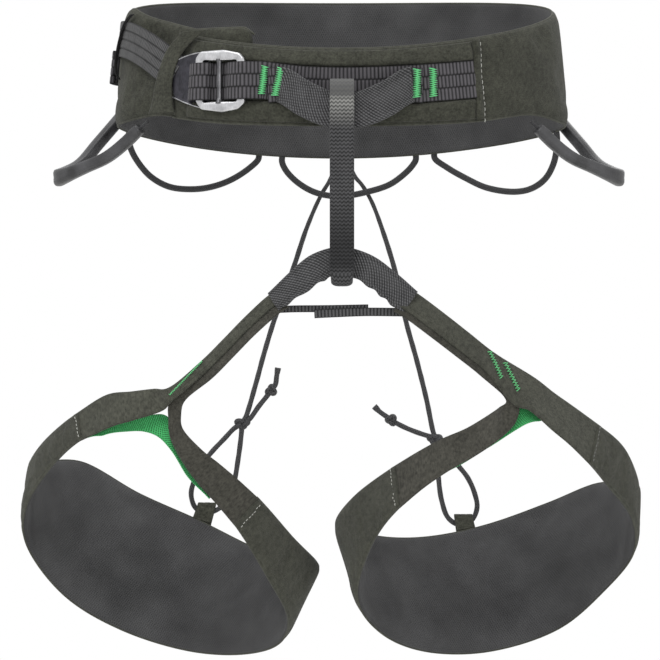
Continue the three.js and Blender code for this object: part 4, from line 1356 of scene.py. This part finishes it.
def leg_straps(side, band):
    """Frames of the front strap, which is arm and outer strap in one, and of the strip behind the arm
    that becomes the inner strap."""
    route, width = ARMS[side]
    fork = FORK[side]
    line = Path(route).even(1.0)
    across, out = strap_frame(line, [0, 0.4, 0.9])
    out = out * np.sign(-out[:, 1:2])
    picks = [int(f * (len(line) - 1)) for f in (0.0, 0.25, 0.5, 0.75)]
    lead = line[0] + (line[0] - line[8]) - out[0] * 1.0
    strip = ARM_STRIP[side]

    def on_arm(w, deep):
        start = lead + across[0] * w - out[0] * (deep + 0.6)
        return [start] + [line[k] + across[k] * w - out[k] * deep for k in picks]

    def on_band(stations, edges):
        points = []
        for station, edge in zip(stations, np.broadcast_to(edges, len(stations))):
            middle, up, away, wide = band.frame(station, station + 1e-3, 2)
            points.append(middle[0] + up[0] * wide[0] / 2 * edge - away[0] * BAND_INSET)
        return points

    last = LEG_OUTER_SEAM + 0.14
    upper = on_arm(width / 2, 0) + fork["crest"] + on_band((0.45, 0.9, 1.4, last), fork["rise"])
    lower = on_arm(strip - width / 2, 0) + fork["apex"] + on_band((0.30, 0.9, 1.4, last), -1)
    stations = (15.1, 14.5, 14.0, 13.5, LEG_INNER_SEAM - 0.14)
    inner = on_arm(strip + 2.6 - width / 2, 1.9) + fork["inner"] + on_band(stations, -1)
    outer = on_arm(-width / 2, 1.9) + fork["outer"] + on_band(stations, 1)
    return between(upper, lower, 170, band.centre), between(outer, inner, 190, band.centre)


def on_strap(frame_, x, z):
    """The point of a strap's outer face that lies at x and z, and the normal there."""
    middle, across, out, width = frame_
    normal = out * np.sign(-out[:, 1:2])
    reach = np.outer(np.linspace(-0.5, 0.5, 41), width)
    points = middle + across * reach[..., None] + normal * STRAP_THICK / 2
    gap = np.hypot(points[..., 0] - x, points[..., 2] - z)
    row, k = np.unravel_index(np.argmin(gap), gap.shape)
    return points[row, k], normal[k]


def band_rings(frame_, low, high):
    """The rings of a pad that follows a band."""
    rings = []
    for middle, across, out, width in zip(*frame_):
        outline, lining = pad_outline(width, low, high)
        rings.append(middle + np.outer(outline[:, 0], across) + np.outer(outline[:, 1], out))
    return np.array(rings), lining


def fabric_strap(name, frame_, surface, hem=2.4):
    """A flat sewn strap with a hem line along both edges and a soft crown."""
    middle, across, out, width = frame_
    outline, columns = strap_outline(1.0, 0, 1, columns=30, corner=0.02)
    u = outline[None, :, 0] * width[:, None]
    v = STRAP_THICK * (outline[None, :, 1] - 0.5)
    inset = width[:, None] / 2 - np.abs(u)
    edge = 0.3 * np.exp(-(((inset - hem) / 0.4) ** 2))
    roll = 0.9 * (1 - smoothstep(inset, 0, 2.0))
    outer = np.zeros(len(outline))
    outer[:columns] = 1
    inner = np.zeros(len(outline))
    inner[columns + 3:2 * columns + 3] = 1
    v = v - (edge + roll * 0.5) * outer + roll * 0.4 * inner
    rings = middle[:, None] + across[:, None] * u[..., None] + out[:, None] * v[..., None]
    return loft(name, rings, [surface])


def fork_mesh(side, body):
    """The mesh gusset in the fork, with its hem; its lower edge runs to a point at both ends."""
    t = np.linspace(0, 1, 90)
    seam, free = (Path(points).at(t) for points in GUSSETS[side])
    close = 0.85 * np.maximum(smoothstep(t, 0.82, 1.0), 1 - smoothstep(t, 0.0, 0.1))
    free = free + (seam - free) * close[:, None]
    seam = seam + unit(seam - free) * 2.4 + [0, 1.4, 0]
    middle, across, width = across_edges(seam, free)
    out = unit(np.cross(np.gradient(free, axis=0), across))
    outline, _ = strap_outline(1.0, -0.35, 0.35, columns=12, corner=0.03)
    gusset = sweep(f"fork_mesh_{side}", middle, across, out, outline, [GREEN_MESH], width=width)
    settle(gusset, body, "green_mesh", f"leg_gusset_{side}")
    float(arc(middle)[-1] * MM)
    settle(tube(f"fork_mesh_hem_{side}", even(free, 1.5), 0.5, [GREEN_MESH], sides=8), body, "green_mesh")


BLEND_RUN = 42
LEG_PAD_INNER = -6.0
LEG_PAD_OUTER = -0.7

for side in SIDES:
    body = f"leg_loop_{side}"
    band = LegBand(LEG_STATIONS[side])

    pad_frame = band.frame(LEG_OUTER_SEAM + SEAM_GAP, LEG_INNER_SEAM - SEAM_GAP, 190)
    rings, lining = band_rings(pad_frame, LEG_PAD_INNER, LEG_PAD_OUTER)
    padded_band(f"leg_pad_{side}", rings, lining, body,
                [f"leg_shell_{side}", f"leg_foam_{side}", f"leg_lining_{side}"], OLIVE_LEG)
    piping(f"leg_top_piping_{side}", rings, TOP_COLUMN, body, 0.65)
    piping(f"leg_bottom_piping_{side}", rings, BOTTOM_COLUMN, body, 0.65)

    # The arm runs on into the outer strap, and a strip behind it turns into the inner strap
    front, back = leg_straps(side, band)
    arm = fabric_strap(f"leg_front_strap_{side}", front, OLIVE_LEG)
    inside = fabric_strap(f"leg_inside_strap_{side}", back, OLIVE_DARK, hem=1.6)
    for piece, line, nodes in ((arm, front[0], (f"arm_{side}", f"leg_outer_strap_{side}")),
                               (inside, back[0], (f"leg_inner_strap_{side}",))):
        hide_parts(*nodes)
        line[int(np.argmax(arc(line) > BLEND_RUN))] * MM
        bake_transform(piece)

    # Stitches across the band where each strap enters the pad
    for label, station in (("front", LEG_OUTER_SEAM + 0.07), ("inside", LEG_INNER_SEAM - 0.12)):
        middle, across, out, width = (values[0] for values in band.frame(station, station + 1e-3, 2))
        line = middle + np.outer(np.linspace(-0.46, 0.44, 16) * width, across) - out * 0.55
        surface = GREY_THREAD if (label, side) == ("front", "right") else PALE_THREAD
        seam = stitches(f"leg_seam_stitches_{label}_{side}", line, out, surface, dash=1.5,
                        radius=0.26, wander=0.6)
        settle(seam, body, "webbing")

    fork_mesh(side, body)

    # Tab that holds the riser's loop
    lay_strap(f"riser_tab_{side}", Path(TABS[side]).even(0.5), X_AXIS, 13.5, -0.8, 0.8, OLIVE,
              body, "olive_fabric", f"leg_riser_tab_{side}", pitch=1.4, bands=3, amount=0.15)

    # Slanting green bar tacks beside the fork
    look = FORK_TACK_LOOK[side]
    for k, ends in enumerate(FORK_TACKS[side]):
        (p, n), (q, _) = (on_strap(front, *end) for end in ends)
        tack = bartack(f"fork_tack_{side}_{k}", p + n * 0.35, q + n * 0.35, n, surface=GREEN_THREAD, **look)
        settle(tack, body, "green_mesh")

# ---------------------------------------------------------------- anchor of the risers, at the back

ANCHOR_X = 3.5
ANCHOR_TAB = ((0.9, -39.2), (0.9, -48), (1.0, -53.5), (1.5, -54.9), (2.2, -53.5), (2.3, -48), (2.3, -39.2))
anchor_line = Path([[ANCHOR_X, WAIST_HALF_DEPTH + off, z] for off, z in ANCHOR_TAB]).even(0.4)
lay_strap("riser_anchor_webbing", anchor_line, X_AXIS, 15, -0.45, 0.45, WEBBING,
          "belt", "webbing", "riser_anchor_tab", pitch=1.4, bands=3, amount=0.15)
for k, z in enumerate((-42.0, -46.0)):
    start, end = ((ANCHOR_X + reach, WAIST_HALF_DEPTH + 2.85, z) for reach in (-6, 6))
    tack = bartack(f"riser_anchor_tack_{k}", start, end, (0, 1, 0), 1.8, GREY_THREAD, count=12, radius=0.3)
    settle(tack, "belt", "webbing")

# ---------------------------------------------------------------- gear loops

REAR_LOOPS = {
    "left": [[-148, 33.5, -46.5], [-146, 36, -55], [-141, 41, -64], [-133, 47, -73], [-121, 56, -79.5],
             [-107, 66, -81], [-92, 77, -79], [-77, 88, -73], [-64, 96, -64], [-58, 99.5, -57.5]],
    "centre": [[-41, 102, -59.5], [-38, 102.3, -66], [-29, 102.6, -75], [-16, 103, -82], [1, 103, -84.5],
               [22, 103, -81], [37, 102.6, -76], [47, 102, -69], [53, 100.5, -63], [56, 99.5, -58]],
    "right": [[69.5, 96, -57.2], [78, 92, -64], [91, 84.5, -72], [106, 75, -79.5], [125, 62, -83],
              [137, 52, -81], [146, 43, -74.5], [151, 36, -65], [153, 31, -55], [153, 27, -46]],
}
for side, route in REAR_LOOPS.items():
    ends = [np.array(end) + [0, 0, 4.5] + unit(np.array([end[0], end[1], 0.0])) * -0.6
            for end in (route[0], route[-1])]
    line = Path([ends[0]] + route + [ends[1]]).even(1.4)
    rear_loop = tube(f"rear_gear_cord_{side}", line, REAR_LOOP_DIAMETER / 2, [GEAR_CORD], sides=16)
    settle(rear_loop, f"gear_rear_{side}", "gear_cord", f"gear_loop_rear_{side}")

FRONT_LOOP = [[129, -60, -41], [136, -56, -47], [146, -51, -56], [158, -45, -64.5], [173, -36, -70.5],
              [186, -25, -75], [193, -12, -76.5], [188.5, 0, -73], [179, 11, -65.5], [169, 22, -52],
              [158, 34, -37.5], [148, 45.5, -24]]
CORE_UNTIL = 0.07


def sleeve(name, path):
    """Moulded sleeve: a rounded section with a lengthwise ridge, drawn out to a paddle at the tip."""
    t = np.linspace(CORE_UNTIL, 1, 120)
    points = path.at(t)
    tangent = unit(path.at(t + 1e-3) - path.at(t - 1e-3))
    side = unit(Z_AXIS - tangent[:, 2:3] * tangent)
    out = np.cross(tangent, side)
    away = unit(points * [1, 1, 0])
    out *= np.sign((out * away).sum(axis=1, keepdims=True))
    turn = np.linspace(0, 2 * np.pi, 24, endpoint=False)
    tip = np.exp(-(((t - 0.55) / 0.12) ** 2))[:, None]
    corner = (np.abs(np.cos(turn)) ** 3 + np.abs(np.sin(turn)) ** 3) ** (-1 / 3)
    ridge = 0.10 * np.exp(-(((turn - 0.9) / 0.22) ** 2)) - 0.07 * np.exp(-(((turn - 1.6) / 0.3) ** 2))
    r = SLEEVE_RADIUS * (0.93 * corner + ridge)[None, :]
    taper = (0.9 + 0.1 * smoothstep(t, CORE_UNTIL, 0.12) - 0.12 * smoothstep(t, 0.97, 1.0))[:, None]
    up = r * np.cos(turn) * (1 + 0.5 * tip) * taper
    reach = r * np.sin(turn) * taper
    rings = points[:, None] + side[:, None] * up[..., None] + out[:, None] * reach[..., None]
    return loft(name, rings, [SLEEVE])


for side, sign in (("left", -1), ("right", 1)):
    body = f"gear_front_{side}"
    route = Path([[sign * x, y, z] for x, y, z in FRONT_LOOP])
    settle(sleeve(f"front_gear_sleeve_{side}", route), body, "moulded_sleeve", f"gear_loop_front_{side}")
    core = tube(f"front_gear_core_{side}", route.even(0.5, 0, CORE_UNTIL + 0.004), 1.3, [GEAR_CORD])
    settle(core, body, "gear_cord", f"gear_loop_core_{side}")
